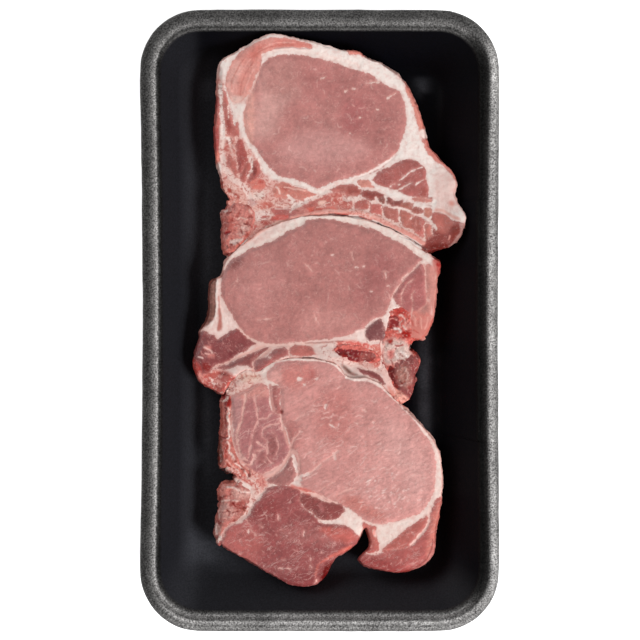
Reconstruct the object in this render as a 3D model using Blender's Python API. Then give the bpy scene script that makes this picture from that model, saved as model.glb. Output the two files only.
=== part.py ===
"""Meat tray pack: three raw bone-in pork chops in a long black foam tray.

The tray is one pressed sheet of foam with a rolled lip. The chops lie in a row along it, each one
leaning a little over the one before, and their ends ride up the tray's sloping walls. Each chop is
one slab of meat with the slices of bone that were sawn through with it.

Frame: +Y runs along the tray, +X across it and +Z up. The origin is under the middle of the tray,
on the surface that it stands on. Names that end in _MM hold millimetres, all else is in metres.
"""

from math import cos, pi, sin

import bmesh
import bpy
import numpy as np

MM = 0.001

# The tray's outer edge, seen from above: a long rounded rectangle with slightly hollow long sides.
TRAY_HALF_WIDTH_MM = 90.0
TRAY_HALF_LENGTH_MM = 155.25
TRAY_WAIST_MM = 1.5
LIP_CORNER_RADIUS_MM = 30.0
MOUTH_CORNER_RADIUS_MM = 20.0
FLOOR_CORNER_RADIUS_MM = 12.0

# The tray's section, as (distance in from the outer edge, height). The first list runs over the
# lip, the groove and the shoulder and down the wall to the floor, the second along the underside.
FLOOR_TOP_MM = 4.2
LIP_TOP_MM = 28.0
MOUTH_INSET_MM = 10.0
FLOOR_INSET_MM = 30.0
INNER_SECTION_MM = [(0.0, 25.6), (0.5, 27.1), (1.7, LIP_TOP_MM - 0.15), (3.0, LIP_TOP_MM),
                    (4.8, LIP_TOP_MM - 0.2), (5.8, 27.4), (6.9, 26.7), (8.0, 25.7), (9.0, 25.9), (9.8, 25.3),
                    (10.8, 24.1), (26.0, 7.0), (28.4, 5.2), (31.0, 4.4), (34.0, FLOOR_TOP_MM)]
UNDER_SECTION_MM = [(30.0, 0.0), (27.4, 0.5), (25.4, 2.0), (23.3, 4.6), (7.2, 22.6), (5.6, 23.5),
                    (1.4, 23.8), (0.2, 24.6)]
CORNER_STEPS = 7
SIDE_STEPS = 4

# The chops' thickness, and how their edges are rounded over.
CHOP_THICKNESS_MM = 15.2
TOUCH_GAP_MM = 0.3
CHOP_TILT_MM = 1.0
EYE_SWELL_MM = 1.2
WALL_LIFT_MM = 7.5
WALL_LIFT_INSET_MM = (38.0, 11.0)
LEAST_EDGE_MM = 3.6
CAP_GRID_MM = 12.0
CAP_GRID_SHIFT = 0.25

# Each ring of a chop's side: distance in from its outline, and height from underside (0) to top (1).
CHOP_RINGS = [(3.4, 1.0), (1.0, 0.90), (0.0, 0.60), (0.8, 0.22), (2.8, 0.0)]
OUTLINE_SPACING_MM = 2.4

# The chops' outlines, clockwise from the left. Where a neighbour leans over an edge, the outline
# runs on for a few millimetres under it.
FAR_OUTLINE_MM = [
    (-53, 95), (-52, 110), (-51, 127), (-49, 131), (-44, 133.5), (-38, 137), (-31, 141), (-23, 143.5),
    (-14, 142), (-5, 140), (5, 137.5), (12, 135.5), (19, 135), (25, 131.5), (33, 128.5), (43, 120),
    (50, 106), (53, 96), (55, 88), (61, 81), (66, 75), (69, 69.5), (68, 64), (70, 58), (73, 53),
    (72.5, 47), (70, 41), (65, 37), (58, 35), (51, 33), (42, 38), (32, 43), (21, 47), (9, 49.5),
    (-6, 48), (-15, 44), (-24, 38.5), (-32, 34), (-39, 31), (-45, 32), (-48.5, 34), (-49.5, 40),
    (-49, 47), (-49.5, 54.5), (-46.5, 57), (-45.5, 61), (-49, 66.5), (-50, 73), (-52, 80)]
MIDDLE_OUTLINE_MM = [
    (-50, 22), (-48, 27), (-45, 31), (-35, 38.5), (-29, 43), (-20, 47.5), (-11, 51.5), (-3, 53),
    (6, 53), (14, 52), (24, 49), (35, 44.5), (44, 40), (51, 35.5), (56, 32), (60, 30), (61, 27),
    (59.5, 23), (59, 15), (58, 5), (56, -3), (53, -8), (48, -10), (45, -12.5), (47, -15.5),
    (50, -18), (50.5, -22), (48.5, -27), (47.5, -34), (45.5, -39), (43, -41), (37, -42), (31, -38),
    (24, -34), (15, -33), (8, -29), (1, -25), (-8, -23), (-16, -23), (-23, -26), (-29, -30),
    (-36, -30), (-42, -34.5), (-49, -37.5), (-53, -35), (-60, -31), (-63, -25), (-63, -18),
    (-61, -10), (-60, -4), (-57, 0), (-56, 6), (-56, 14), (-55, 20)]
NEAR_OUTLINE_MM = [
    (-50, -41), (-47, -35), (-45, -31), (-40, -26), (-36, -24.5), (-31, -25.5), (-24, -21),
    (-15, -18.5), (-6, -18.7), (4, -20), (9, -22), (13, -27), (17, -28.5), (24, -28.5), (30, -31),
    (37, -38), (45, -45.5), (53, -54), (59, -63), (61.5, -72), (61.8, -84), (60.5, -97),
    (58.5, -106), (58, -114), (55, -120.5), (49, -124.5), (40, -126.8), (31, -125.5), (24, -124),
    (19, -120.5), (22, -117), (25, -114), (24.5, -108), (22.5, -104), (20.5, -109), (18, -113),
    (12, -117), (7, -120.5), (4, -127), (0, -131.5), (-6, -133.5), (-14, -132.5), (-24, -128),
    (-36, -121), (-46, -115.5), (-53, -109), (-52, -101), (-51, -92), (-51, -84), (-47, -81),
    (-42, -80.5), (-44, -76.5), (-50, -74), (-50.5, -64), (-49.5, -50)]

# The large round muscle of each chop, which stands a little proud: its centre and half sizes.
FAR_EYE_MM = ((2, 101), (42, 32))
MIDDLE_EYE_MM = ((-1, 20), (49, 31))
NEAR_EYE_MM = ((24, -62), (40, 42))

# Slices of bone, seen from above. Where a bone reaches a chop's edge, its outline runs past it.
FAR_BACKBONE_MM = [(-54, 56), (-45, 58.5), (-38, 58.5), (-33.5, 56), (-32.5, 51), (-34.5, 45),
                   (-38, 39.5), (-43, 35), (-47, 29), (-54, 30)]
MIDDLE_BACKBONE_MM = [(35, 5.5), (40, 7), (45, 5), (46, -3), (47, -8), (54, -10), (57, -24),
                      (52, -44), (43, -45), (38, -37), (34.5, -29), (31.5, -19), (31.5, -11),
                      (33, -3)]
NEAR_BACKBONE_MM = [(-58, -82.5), (-50, -79), (-44, -78.5), (-36, -84), (-33.5, -87.5), (-36, -93),
                    (-38.5, -99), (-45, -101.5), (-49, -106), (-52, -114), (-60, -110)]
NEAR_CHINE_MM = [(-56, -38), (-47, -34), (-44.5, -40), (-45, -52), (-43.5, -62), (-40, -70),
                 (-33, -77), (-36.5, -80.5), (-44, -73.5), (-50, -77), (-56, -70)]
RIB_CENTRE_MM = (19.0, -16.8)
RIB_HALF_SIZE_MM = (11.6, 4.1)
RIB_TURN = -0.2
RIB_STEPS = 16
BONE_SPACING_MM = 4.0

PART_COLLECTION = "meat_tray_pack"
CUTTER_COLLECTION = "cutters"


def clear_scene():
    """Remove every object and collection that the file opened with."""
    for item in list(bpy.data.objects):
        bpy.data.objects.remove(item)
    for group in list(bpy.data.collections):
        bpy.data.collections.remove(group)


def add_collection(name):
    """Make a collection of this name in the scene."""
    group = bpy.data.collections.new(name)
    bpy.context.scene.collection.children.link(group)
    return group


def add_material(name, colour, roughness):
    """Make a plain material of one colour."""
    material = bpy.data.materials.new(name)
    material.use_nodes = True
    shader = material.node_tree.nodes["Principled BSDF"]
    shader.inputs["Base Color"].default_value = (*colour, 1.0)
    shader.inputs["Roughness"].default_value = roughness
    shader.inputs["Metallic"].default_value = 0.0
    return material


def add_object(name, mesh, group, material=None):
    """Put a mesh in the scene as an object of this name."""
    item = bpy.data.objects.new(name, mesh)
    group.objects.link(item)
    if material:
        mesh.materials.append(material)
    return item


def closed_spline(points, spacing):
    """Points at an even spacing on the smooth closed curve through a few given ones."""
    given = np.array(points, dtype=float)
    steps = np.linspace(0, 1, 16, endpoint=False)[:, None]
    stretches = []
    for i in range(len(given)):
        p0, p1, p2, p3 = (given[(i + k) % len(given)] for k in (-1, 0, 1, 2))
        stretches.append(p1 + 0.5 * steps * (p2 - p0)
                         + steps ** 2 * (p0 - 2.5 * p1 + 2 * p2 - 0.5 * p3)
                         + 0.5 * steps ** 3 * (3 * p1 - p0 - 3 * p2 + p3))
    dense = np.vstack(stretches)
    dense = np.vstack([dense, dense[:1]])
    along = np.concatenate([[0], np.cumsum(np.hypot(*np.diff(dense, axis=0).T))])
    wanted = np.linspace(0, along[-1], round(along[-1] / spacing), endpoint=False)
    return np.stack([np.interp(wanted, along, dense[:, axis]) for axis in (0, 1)], axis=1)


def grown(outline, distance):
    """A clockwise outline moved outward by a distance, or inward by a negative one."""
    tangent = np.roll(outline, -1, axis=0) - np.roll(outline, 1, axis=0)
    normal = np.stack([-tangent[:, 1], tangent[:, 0]], axis=1)
    normal /= np.hypot(*normal.T)[:, None]
    return outline + normal * distance


def corner_radius(inset):
    """The tray's corner radius at a distance in from its outer edge, in millimetres."""
    return np.interp(inset, (0, MOUTH_INSET_MM, FLOOR_INSET_MM),
                     (LIP_CORNER_RADIUS_MM, MOUTH_CORNER_RADIUS_MM, FLOOR_CORNER_RADIUS_MM))


def waist(y):
    """How far the tray's long side is drawn in at y, in millimetres."""
    return TRAY_WAIST_MM * np.clip(1 - (y / (TRAY_HALF_LENGTH_MM - LIP_CORNER_RADIUS_MM)) ** 2, 0, 1)


def tray_inset(x, y):
    """How far in from the tray's outer edge the points lie, found among its nested outlines."""
    low = np.zeros(len(x))
    high = np.full(len(x), TRAY_HALF_WIDTH_MM)
    for _ in range(22):
        middle = (low + high) / 2
        radius = corner_radius(middle)
        across = np.abs(x) - (TRAY_HALF_WIDTH_MM - waist(y) - middle - radius)
        along = np.abs(y) - (TRAY_HALF_LENGTH_MM - middle - radius)
        distance = np.hypot(np.maximum(across, 0), np.maximum(along, 0)) - radius
        outside = distance + np.minimum(np.maximum(across, along), 0) > 0
        low, high = np.where(outside, low, middle), np.where(outside, middle, high)
    return low


def tray_surface(x, y):
    """The height of the tray's inner surface under the points, in millimetres."""
    insets, heights = zip(*INNER_SECTION_MM)
    return np.interp(tray_inset(x, y), insets, heights)


def tray_ring(inset, height):
    """One outline of the tray at a distance in from its outer edge."""
    radius = float(corner_radius(inset))
    half_x = TRAY_HALF_WIDTH_MM - inset - radius
    half_y = TRAY_HALF_LENGTH_MM - inset - radius
    ring = []
    for quarter, (side_x, side_y) in enumerate([(1, 1), (-1, 1), (-1, -1), (1, -1)]):
        for step in range(CORNER_STEPS + 1):
            angle = (quarter + step / CORNER_STEPS) * pi / 2
            ring.append((side_x * half_x + radius * cos(angle), side_y * half_y + radius * sin(angle)))
        if side_x == -side_y:
            ring += [(side_x * (half_x + radius), side_x * half_y * (2 * k / SIDE_STEPS - 1))
                     for k in range(SIDE_STEPS - 1, 0, -1)][::-1 if side_x < 0 else 1]
    return [(x - waist(y) * x / TRAY_HALF_WIDTH_MM, y, height) for x, y in ring]


def loft(rings):
    """A closed mesh through rings of equally many points, from the top ring down to the bottom one."""
    shape = bmesh.new()
    rows = [[shape.verts.new(np.array(point) * MM) for point in ring] for ring in rings]
    for upper, lower in zip(rows, rows[1:]):
        for i in range(len(upper)):
            j = (i + 1) % len(upper)
            shape.faces.new((upper[i], upper[j], lower[j], lower[i]))
    caps = [shape.faces.new(rows[0]), shape.faces.new(rows[-1])]
    bmesh.ops.recalc_face_normals(shape, faces=shape.faces)
    return shape, caps


def finished_mesh(shape, name):
    """Turn the edited shape into a mesh of triangles."""
    bmesh.ops.triangulate(shape, faces=shape.faces)
    mesh = bpy.data.meshes.new(name)
    shape.to_mesh(mesh)
    shape.free()
    return mesh


def make_tray(group, material):
    """The foam tray: floor, sloping walls, shoulder, groove and rounded lip, all one sheet."""
    inside = [tray_ring(*point) for point in reversed(INNER_SECTION_MM)]
    under = [tray_ring(*point) for point in reversed(UNDER_SECTION_MM)]
    shape, _ = loft(inside + under)
    tray = add_object("tray", finished_mesh(shape, "tray"), group, material)
    tray.data.shade_smooth()
    tray.data.set_sharp_from_angle(angle=pi / 4)
    return tray


def chop_top(x, y, eye):
    """The height of a chop's upper face: swelled over the eye muscle, raised by the tray's wall."""
    start, end = WALL_LIFT_INSET_MM
    climb = np.clip((start - tray_inset(x, y)) / (start - end), 0, 1)
    (eye_x, eye_y), (half_x, half_y) = eye
    swell = np.clip(1 - ((x - eye_x) / half_x) ** 2 - ((y - eye_y) / half_y) ** 2, 0, 1) ** 0.5
    tilt = CHOP_TILT_MM * np.clip((y - eye_y) / half_y, -1, 1)
    level = FLOOR_TOP_MM + TOUCH_GAP_MM + CHOP_THICKNESS_MM
    return level + WALL_LIFT_MM * climb ** 2 + EYE_SWELL_MM * swell + tilt


def chop_underside(x, y):
    """The height of a chop's lower face, which lies on the tray."""
    return tray_surface(x, y) + TOUCH_GAP_MM


def chop_ring(outline, eye, inset, share):
    """One ring of a chop's side, at a share of the way from its lower to its upper face."""
    x, y = grown(outline, -inset).T
    low, high = chop_underside(x, y), chop_top(x, y, eye)
    height = low + share * np.maximum(high - low, LEAST_EDGE_MM)
    return np.stack([x, y, height], axis=1)


def divide_cap(shape, face, height_at):
    """Cut a flat cap into a grid and lay its points on a surface."""
    geometry = {face, *face.edges, *face.verts}
    spans = [[vert.co[axis] / MM / CAP_GRID_MM for vert in face.verts] for axis in (0, 1)]
    for axis, span in enumerate(spans):
        place, normal = np.zeros(3), np.zeros(3)
        normal[axis] = 1
        for line in range(round(min(span)), round(max(span)) + 1):
            place[axis] = (line + CAP_GRID_SHIFT) * CAP_GRID_MM * MM
            cut = bmesh.ops.bisect_plane(shape, geom=list(geometry), plane_co=place, plane_no=normal)
            geometry = set(cut["geom"])
    verts = [item for item in geometry if isinstance(item, bmesh.types.BMVert)]
    x, y = (np.array([vert.co[axis] / MM for vert in verts]) for axis in (0, 1))
    for vert, height in zip(verts, height_at(x, y)):
        vert.co.z = height * MM


def make_chop_mesh(outline, eye):
    """The whole slab of a chop, before bones and neighbours are cut from it."""
    shape, (top, bottom) = loft([chop_ring(outline, eye, *ring) for ring in CHOP_RINGS])
    divide_cap(shape, top, lambda x, y: chop_top(x, y, eye))
    divide_cap(shape, bottom, chop_underside)
    return finished_mesh(shape, "chop")


def make_neighbour_cutter(name, outline, eye, group):
    """A chop's own shape with its gap, open upward, that cuts the chop it leans over."""
    _, _, (_, middle_share), (low_inset, low_share), (bottom_inset, _) = CHOP_RINGS
    widest = chop_ring(outline, eye, -TOUCH_GAP_MM, middle_share)
    above = widest * (1, 1, 0) + (0, 0, 2 * LIP_TOP_MM)
    low = chop_ring(outline, eye, low_inset - TOUCH_GAP_MM, low_share)
    bottom = chop_ring(outline, eye, bottom_inset - TOUCH_GAP_MM, 0.0)
    below = bottom * (1, 1, 0) - (0, 0, LIP_TOP_MM)
    shape, _ = loft([above, widest, low, bottom, below])
    return add_cutter(name, shape, group)


def make_bone_cutter(name, outline, group, grow=0.0):
    """A bone's outline as an upright block, taller than the chop that it goes through."""
    flat = grown(outline, grow)
    ends = [np.column_stack([flat, np.full(len(flat), z)]) for z in (2 * LIP_TOP_MM, -LIP_TOP_MM)]
    shape, _ = loft(ends)
    return add_cutter(name, shape, group)


def add_cutter(name, shape, group):
    """Put a cutting shape in the scene, out of the render."""
    cutter = add_object(name, finished_mesh(shape, name), group)
    cutter.display_type = "WIRE"
    cutter.hide_render = True
    return cutter


def add_boolean(item, cutter, operation):
    """Cut an object with another, or keep what the two share."""
    modifier = item.modifiers.new(f"{operation.lower()} {cutter.name}", "BOOLEAN")
    modifier.operation = operation
    modifier.solver = "EXACT"
    modifier.object = cutter


def rib_outline():
    """The oval section of a rib, clockwise."""
    turns = -np.linspace(0, 2 * pi, RIB_STEPS, endpoint=False)
    oval = np.stack([RIB_HALF_SIZE_MM[0] * np.cos(turns), RIB_HALF_SIZE_MM[1] * np.sin(turns)], axis=1)
    turn = np.array([[cos(RIB_TURN), -sin(RIB_TURN)], [sin(RIB_TURN), cos(RIB_TURN)]])
    return oval @ turn.T + RIB_CENTRE_MM


def make_chop(name, shape, bones, over, groups, materials):
    """A chop and its bones. 'over' is the neighbour's cutter that leans over this chop, if any."""
    part, cutters = groups
    meat, bone = materials
    outline_points, eye = shape
    outline = closed_spline(outline_points, OUTLINE_SPACING_MM)
    whole = make_chop_mesh(outline, eye)
    chop = add_object(name, whole, part, meat)
    if over:
        add_boolean(chop, over, "DIFFERENCE")
    for bone_name, bone_outline in bones.items():
        piece = add_object(f"{name}_{bone_name}", whole.copy(), part)
        piece.data.materials.clear()
        piece.data.materials.append(bone)
        if over:
            add_boolean(piece, over, "DIFFERENCE")
        block = make_bone_cutter(f"{piece.name}_block", bone_outline, cutters)
        pocket = make_bone_cutter(f"{piece.name}_pocket", bone_outline, cutters, TOUCH_GAP_MM)
        add_boolean(piece, block, "INTERSECT")
        add_boolean(chop, pocket, "DIFFERENCE")
    return make_neighbour_cutter(f"{name}_neighbour", outline, eye, cutters)


def bone_spline(points):
    """The smooth outline of a slice of bone."""
    return closed_spline(points, BONE_SPACING_MM)


def main():
    """Build the tray and the three chops, the near one first because it leans over the next."""
    clear_scene()
    groups = add_collection(PART_COLLECTION), add_collection(CUTTER_COLLECTION)
    foam = add_material("black_foam", (0.012, 0.012, 0.015), 0.5)
    bone = add_material("cut_bone", (0.50, 0.20, 0.17), 0.5)
    far_pork, middle_pork, near_pork = (
        add_material(f"pork_{place}", colour, 0.42)
        for place, colour in (("far", (0.50, 0.22, 0.20)), ("middle", (0.47, 0.20, 0.18)),
                              ("near", (0.53, 0.26, 0.24))))
    make_tray(groups[0], foam)
    near = make_chop("chop_near", (NEAR_OUTLINE_MM, NEAR_EYE_MM),
                     {"backbone": bone_spline(NEAR_BACKBONE_MM), "chine": bone_spline(NEAR_CHINE_MM)},
                     None, groups, (near_pork, bone))
    middle = make_chop("chop_middle", (MIDDLE_OUTLINE_MM, MIDDLE_EYE_MM),
                       {"backbone": bone_spline(MIDDLE_BACKBONE_MM), "rib": rib_outline()},
                       near, groups, (middle_pork, bone))
    make_chop("chop_far", (FAR_OUTLINE_MM, FAR_EYE_MM), {"backbone": bone_spline(FAR_BACKBONE_MM)},
              middle, groups, (far_pork, bone))


main()
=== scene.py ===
# %% [markdown]
# # A family pack of pork chops
# Three raw bone-in chops lie side by side on a long black foam tray. Each one is a slice
# through several muscles, the fat between them and a piece of the backbone. The solids
# already fix every size, so this lesson only gives them their true surface and finish.

# %% Load the solids
import itertools
import math
from collections import Counter

import bpy
import numpy as np
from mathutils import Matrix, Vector
from mathutils.bvhtree import BVHTree


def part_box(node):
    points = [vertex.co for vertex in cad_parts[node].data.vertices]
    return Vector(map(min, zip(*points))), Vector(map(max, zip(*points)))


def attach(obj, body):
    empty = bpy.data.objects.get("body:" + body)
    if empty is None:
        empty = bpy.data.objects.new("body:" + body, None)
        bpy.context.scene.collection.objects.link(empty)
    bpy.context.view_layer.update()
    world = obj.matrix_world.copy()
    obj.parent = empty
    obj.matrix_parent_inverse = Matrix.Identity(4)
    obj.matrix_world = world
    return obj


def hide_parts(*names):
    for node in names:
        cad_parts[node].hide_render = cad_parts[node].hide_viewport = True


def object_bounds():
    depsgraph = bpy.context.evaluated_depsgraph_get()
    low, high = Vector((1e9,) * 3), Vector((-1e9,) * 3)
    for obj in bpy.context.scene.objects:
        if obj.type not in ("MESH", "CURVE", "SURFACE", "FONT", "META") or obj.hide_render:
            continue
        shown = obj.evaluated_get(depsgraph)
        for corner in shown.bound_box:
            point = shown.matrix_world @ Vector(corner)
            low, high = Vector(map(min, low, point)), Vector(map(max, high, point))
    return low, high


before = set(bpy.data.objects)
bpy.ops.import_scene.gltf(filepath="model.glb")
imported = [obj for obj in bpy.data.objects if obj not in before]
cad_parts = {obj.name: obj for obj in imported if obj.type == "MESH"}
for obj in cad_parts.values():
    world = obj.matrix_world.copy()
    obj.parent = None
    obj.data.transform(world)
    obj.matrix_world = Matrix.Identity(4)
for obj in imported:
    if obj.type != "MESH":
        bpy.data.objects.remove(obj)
solid_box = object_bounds()
print("solids:", ", ".join(sorted(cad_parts)))

# %% [markdown]
# ## Camera, light and table
# A pack like this is shown from straight above. A long lens far away keeps the tray walls
# upright. A wide soft box low on one side picks out the rims and seams, a weaker one fills
# the other side, and a bright room with a darker ceiling keeps wet surfaces from turning grey.

# %% Sizes of the whole pack
MM = 0.001
low, high = solid_box
middle = (low + high) / 2
RIM_HEIGHT = high.z
FRAME_WIDTH = 320 * MM
LENS_DISTANCE = 2.0
OFF_CENTRE = 0.25 * MM
print("pack in mm:", [round((b - a) / MM, 1) for a, b in zip(low, high)])

# %% Camera straight above
above = (middle.x + OFF_CENTRE, middle.y + OFF_CENTRE, RIM_HEIGHT + LENS_DISTANCE)
bpy.ops.object.camera_add(location=above, rotation=(0, 0, 0))
camera = bpy.context.object
camera.data.lens = camera.data.sensor_width * LENS_DISTANCE / FRAME_WIDTH
bpy.context.scene.camera = camera
bpy.context.scene.view_settings.view_transform = "Standard"
print("lens in mm:", round(camera.data.lens))

# %% Soft boxes and the room
def soft_box(name, place, width, watts):
    """A square area light at place, turned towards the middle of the pack."""
    turn = (middle - Vector(place)).to_track_quat("-Z", "Y").to_euler()
    bpy.ops.object.light_add(type="AREA", location=place, rotation=turn)
    lamp = bpy.context.object
    lamp.name = name
    lamp.data.size = width
    lamp.data.energy = watts
    return lamp


key = soft_box("key", (2.1, -1.5, 1.35), 1.3, 129)
key.visible_glossy = False
soft_box("fill", (-2.0, 1.6, 1.8), 1.6, 40)
print("wet surfaces mirror only the fill and the room, so no view of the pack is lost in glare")

room = bpy.data.worlds.new("room")
bpy.context.scene.world = room
room.use_nodes = True

# %% [markdown]
# Node trees are easier to read when one small helper adds a node, sets its plain values and
# links its inputs. Every material below is wired with it.

# %% A helper that wires nodes
def wire(tree, kind, sockets=None, **settings):
    """Adds a node; each socket gets a plain value, or a link when it is given another socket."""
    made = tree.nodes.new("ShaderNode" + kind)
    for name, value in settings.items():
        setattr(made, name, value)
    for name, value in (sockets or {}).items():
        if isinstance(value, bpy.types.NodeSocket):
            tree.links.new(value, made.inputs[name])
        else:
            made.inputs[name].default_value = value
    return made


def spread(tree, value, start, end, low=0.0, high=1.0, soft=False):
    """Maps value from start..end to low..high and stops at both ends."""
    step = "SMOOTHSTEP" if soft else "LINEAR"
    sockets = {0: value, 1: start, 2: end, 3: low, 4: high}
    return wire(tree, "MapRange", sockets, interpolation_type=step).outputs[0]


def combine(tree, rule, first, second):
    """Joins two values with a maths rule such as ADD or MULTIPLY."""
    return wire(tree, "Math", {0: first, 1: second}, operation=rule).outputs[0]


def mix(tree, amount, first, second, rule="MIX"):
    """Mixes two colours."""
    return wire(tree, "Mix", {0: amount, 6: first, 7: second}, data_type="RGBA", blend_type=rule).outputs[2]


def stored(tree, name, output="Fac"):
    """Reads a number, or a colour, that was stored on the points of a piece."""
    return wire(tree, "Attribute", attribute_name=name).outputs[output]


def noise_at(tree, vector, scale, detail=2.0, curl=0.0, rough=0.5):
    """Cloudy noise; a bigger scale gives smaller clouds."""
    sockets = {"Vector": vector, "Scale": scale, "Detail": detail, "Distortion": curl, "Roughness": rough}
    return wire(tree, "TexNoise", sockets).outputs[0]


def cells_at(tree, vector, scale):
    """Distance to the middle of the nearest of many small cells, such as beads or pores."""
    return wire(tree, "TexVoronoi", {"Vector": vector, "Scale": scale}, feature="F1").outputs["Distance"]


def emboss(tree, shader, relief, depth):
    """Gives a shader fine relief with this depth in mm."""
    bump = wire(tree, "Bump", {"Height": relief, "Strength": 0.8, "Distance": depth * MM})
    tree.links.new(bump.outputs[0], shader.inputs["Normal"])


# %% Room light that is dimmer overhead
tree = room.node_tree
direction = wire(tree, "TexCoord").outputs["Generated"]
height = wire(tree, "SeparateXYZ", {0: direction}).outputs["Z"]
brightness = spread(tree, height, 0.50, 0.92, 0.46, 0.14, soft=True)
tree.links.new(brightness, tree.nodes["Background"].inputs["Strength"])
tree.nodes["Background"].inputs["Color"].default_value = (1, 1, 1, 1)
print("room light set")

# %% Colours as they look on a screen
LIGHT_LEVEL = 1.15
GLOSS = 0.03


def shade(red, green, blue, gloss=GLOSS):
    """The surface colour that is seen as these 0-255 values under the soft boxes."""
    seen = np.array((red, green, blue)) / 255
    linear = np.where(seen <= 0.04045, seen / 12.92, ((seen + 0.055) / 1.055) ** 2.4)
    return tuple(np.maximum(linear - gloss, 0.002) / LIGHT_LEVEL) + (1.0,)


def new_material(name):
    """An empty material and its tree, coordinates and shader."""
    finish = bpy.data.materials.new(name)
    finish.use_nodes = True
    tree = finish.node_tree
    place = wire(tree, "TexCoord").outputs["Object"]
    return finish, tree, place, tree.nodes["Principled BSDF"]


print("white is painted with a strength of", round(shade(255, 255, 255)[0], 2))


# %% Pale table
bpy.ops.object.select_all(action="DESELECT")
bpy.ops.mesh.primitive_plane_add(size=12, location=(0, 0, 0))
table = bpy.context.object
table.name = "table"
finish, tree, place, shader = new_material("pale_table")
tint = mix(tree, noise_at(tree, place, 40.0), (0.93, 0.93, 0.93, 1), (0.95, 0.95, 0.95, 1))
tree.links.new(tint, shader.inputs["Base Color"])
shader.inputs["Roughness"].default_value = 0.8
shader.inputs["Emission Color"].default_value = (1, 1, 1, 1)
shader.inputs["Emission Strength"].default_value = 0.7
table.data.materials.append(finish)
print("table laid")

# %% [markdown]
# ## From a coarse solid to a fine skin
# The solids are made of a few thousand flat faces. A copy of one is merged, so that its
# loose triangles join up, and then made of even, fine cells, which carry both the small
# hollows and the painted colours of the meat. Points drawn one by one give every shape.

# %% Copies of a solid
def only(piece):
    """Selects one piece and nothing else."""
    bpy.ops.object.select_all(action="DESELECT")
    piece.select_set(True)
    bpy.context.view_layer.objects.active = piece


def merged_copy(node, name):
    """A joined-up copy of a solid, with a mesh of its own and no finish yet."""
    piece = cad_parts[node].copy()
    piece.data = piece.data.copy()
    piece.name = piece.data.name = name
    piece.parent = None
    for key in list(piece.keys()):
        del piece[key]
    bpy.context.collection.objects.link(piece)
    piece.data.materials.clear()
    only(piece)
    bpy.ops.object.mode_set(mode="EDIT")
    bpy.ops.mesh.select_all(action="SELECT")
    bpy.ops.mesh.remove_doubles(threshold=0.001 * MM)
    bpy.ops.object.mode_set(mode="OBJECT")
    return piece


def apply(piece, kind, **settings):
    """Adds one modifier with these settings and applies it at once."""
    step = piece.modifiers.new(kind.lower(), kind)
    for name, value in settings.items():
        setattr(step, name, value)
    only(piece)
    bpy.ops.object.modifier_apply(modifier=step.name)


def points_of(piece):
    """All points of a piece, in millimetres."""
    flat = np.zeros(len(piece.data.vertices) * 3, np.float32)
    piece.data.vertices.foreach_get("co", flat)
    return flat.reshape(-1, 3).astype(float) / MM


def normals_of(piece):
    """The direction that the surface faces at each point."""
    flat = np.zeros(len(piece.data.vertices) * 3, np.float32)
    piece.data.vertex_normals.foreach_get("vector", flat)
    return flat.reshape(-1, 3).astype(float)


def move_points(piece, points):
    """Puts the points of a piece at new places, given in millimetres."""
    piece.data.vertices.foreach_set("co", (points * MM).astype(np.float32).ravel())
    piece.data.update()


def store(piece, name, values):
    """Keeps a number or a colour for every point of a piece."""
    colour = values.ndim == 2
    layer = piece.data.attributes.new(name, "FLOAT_COLOR" if colour else "FLOAT", "POINT")
    layer.data.foreach_set("color" if colour else "value", values.astype(np.float32).ravel())


# %% Soft random hills
HEIGHTS = 8192
STRIDE = 7919
SCRAMBLE = 2654435761


def hills(points, size, seed):
    """A smooth random value from -1 to 1 at each point, with hills about size mm apart."""
    table = np.random.default_rng(seed).uniform(-1, 1, HEIGHTS)
    spot = points / size + 100.0
    cell = np.floor(spot).astype(np.int64)
    part = spot - cell
    part = part * part * (3 - 2 * part)
    total = np.zeros(len(points))
    for corner in itertools.product((0, 1), repeat=points.shape[1]):
        weight = np.ones(len(points))
        number = np.zeros(len(points), np.int64)
        for axis, step in enumerate(corner):
            weight = weight * (part[:, axis] if step else 1 - part[:, axis])
            number = number * STRIDE + cell[:, axis] + step
        total += weight * table[(number * SCRAMBLE >> 7) % HEIGHTS]
    return total


def ease(value, start, end):
    """0 before start, 1 after end, and a smooth step between."""
    part = np.clip((value - start) / (end - start), 0, 1)
    return part * part * (3 - 2 * part)


# %% Curves through given points
def curve(points, closed, step=0.7):
    """A smooth curve through the points, with a point about every step mm."""
    points = np.asarray(points, float)
    if len(points) < 3:
        closed = False
    if closed:
        padded = np.vstack([points[-1], points, points[0], points[1]])
    else:
        padded = np.vstack([2 * points[0] - points[1], points, 2 * points[-1] - points[-2]])
    made = []
    for a, b, c, d in zip(padded, padded[1:], padded[2:], padded[3:]):
        count = max(1, int(np.linalg.norm(c - b) / step))
        for t in np.arange(count)[:, None] / count:
            made.append(0.5 * (2 * b + (c - a) * t + (2 * a - 5 * b + 4 * c - d) * t ** 2
                               + (3 * b - a - 3 * c + d) * t ** 3))
    if not closed:
        made.append(points[-1:])
    return np.vstack(made)


def distance(spots, line, closed):
    """How far each spot is from a line in mm; for a closed line it is positive inside."""
    ends = np.roll(line, -1, 0) if closed else line[1:]
    starts = line if closed else line[:-1]
    nearest = np.full(len(spots), 1e9)
    inside = np.zeros(len(spots), bool)
    for a, b in zip(starts, ends):
        along = b - a
        part = np.clip((spots - a) @ along / max(along @ along, 1e-9), 0, 1)
        gap = spots - a - part[:, None] * along
        nearest = np.minimum(nearest, (gap * gap).sum(1))
        if closed and a[1] != b[1]:
            crosses = (spots[:, 1] < a[1]) != (spots[:, 1] < b[1])
            where = a[0] + (spots[:, 1] - a[1]) / (b[1] - a[1]) * (b[0] - a[0])
            inside ^= crosses & (spots[:, 0] < where)
    nearest = np.sqrt(nearest)
    return np.where(inside, nearest, -nearest) if closed else nearest


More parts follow.
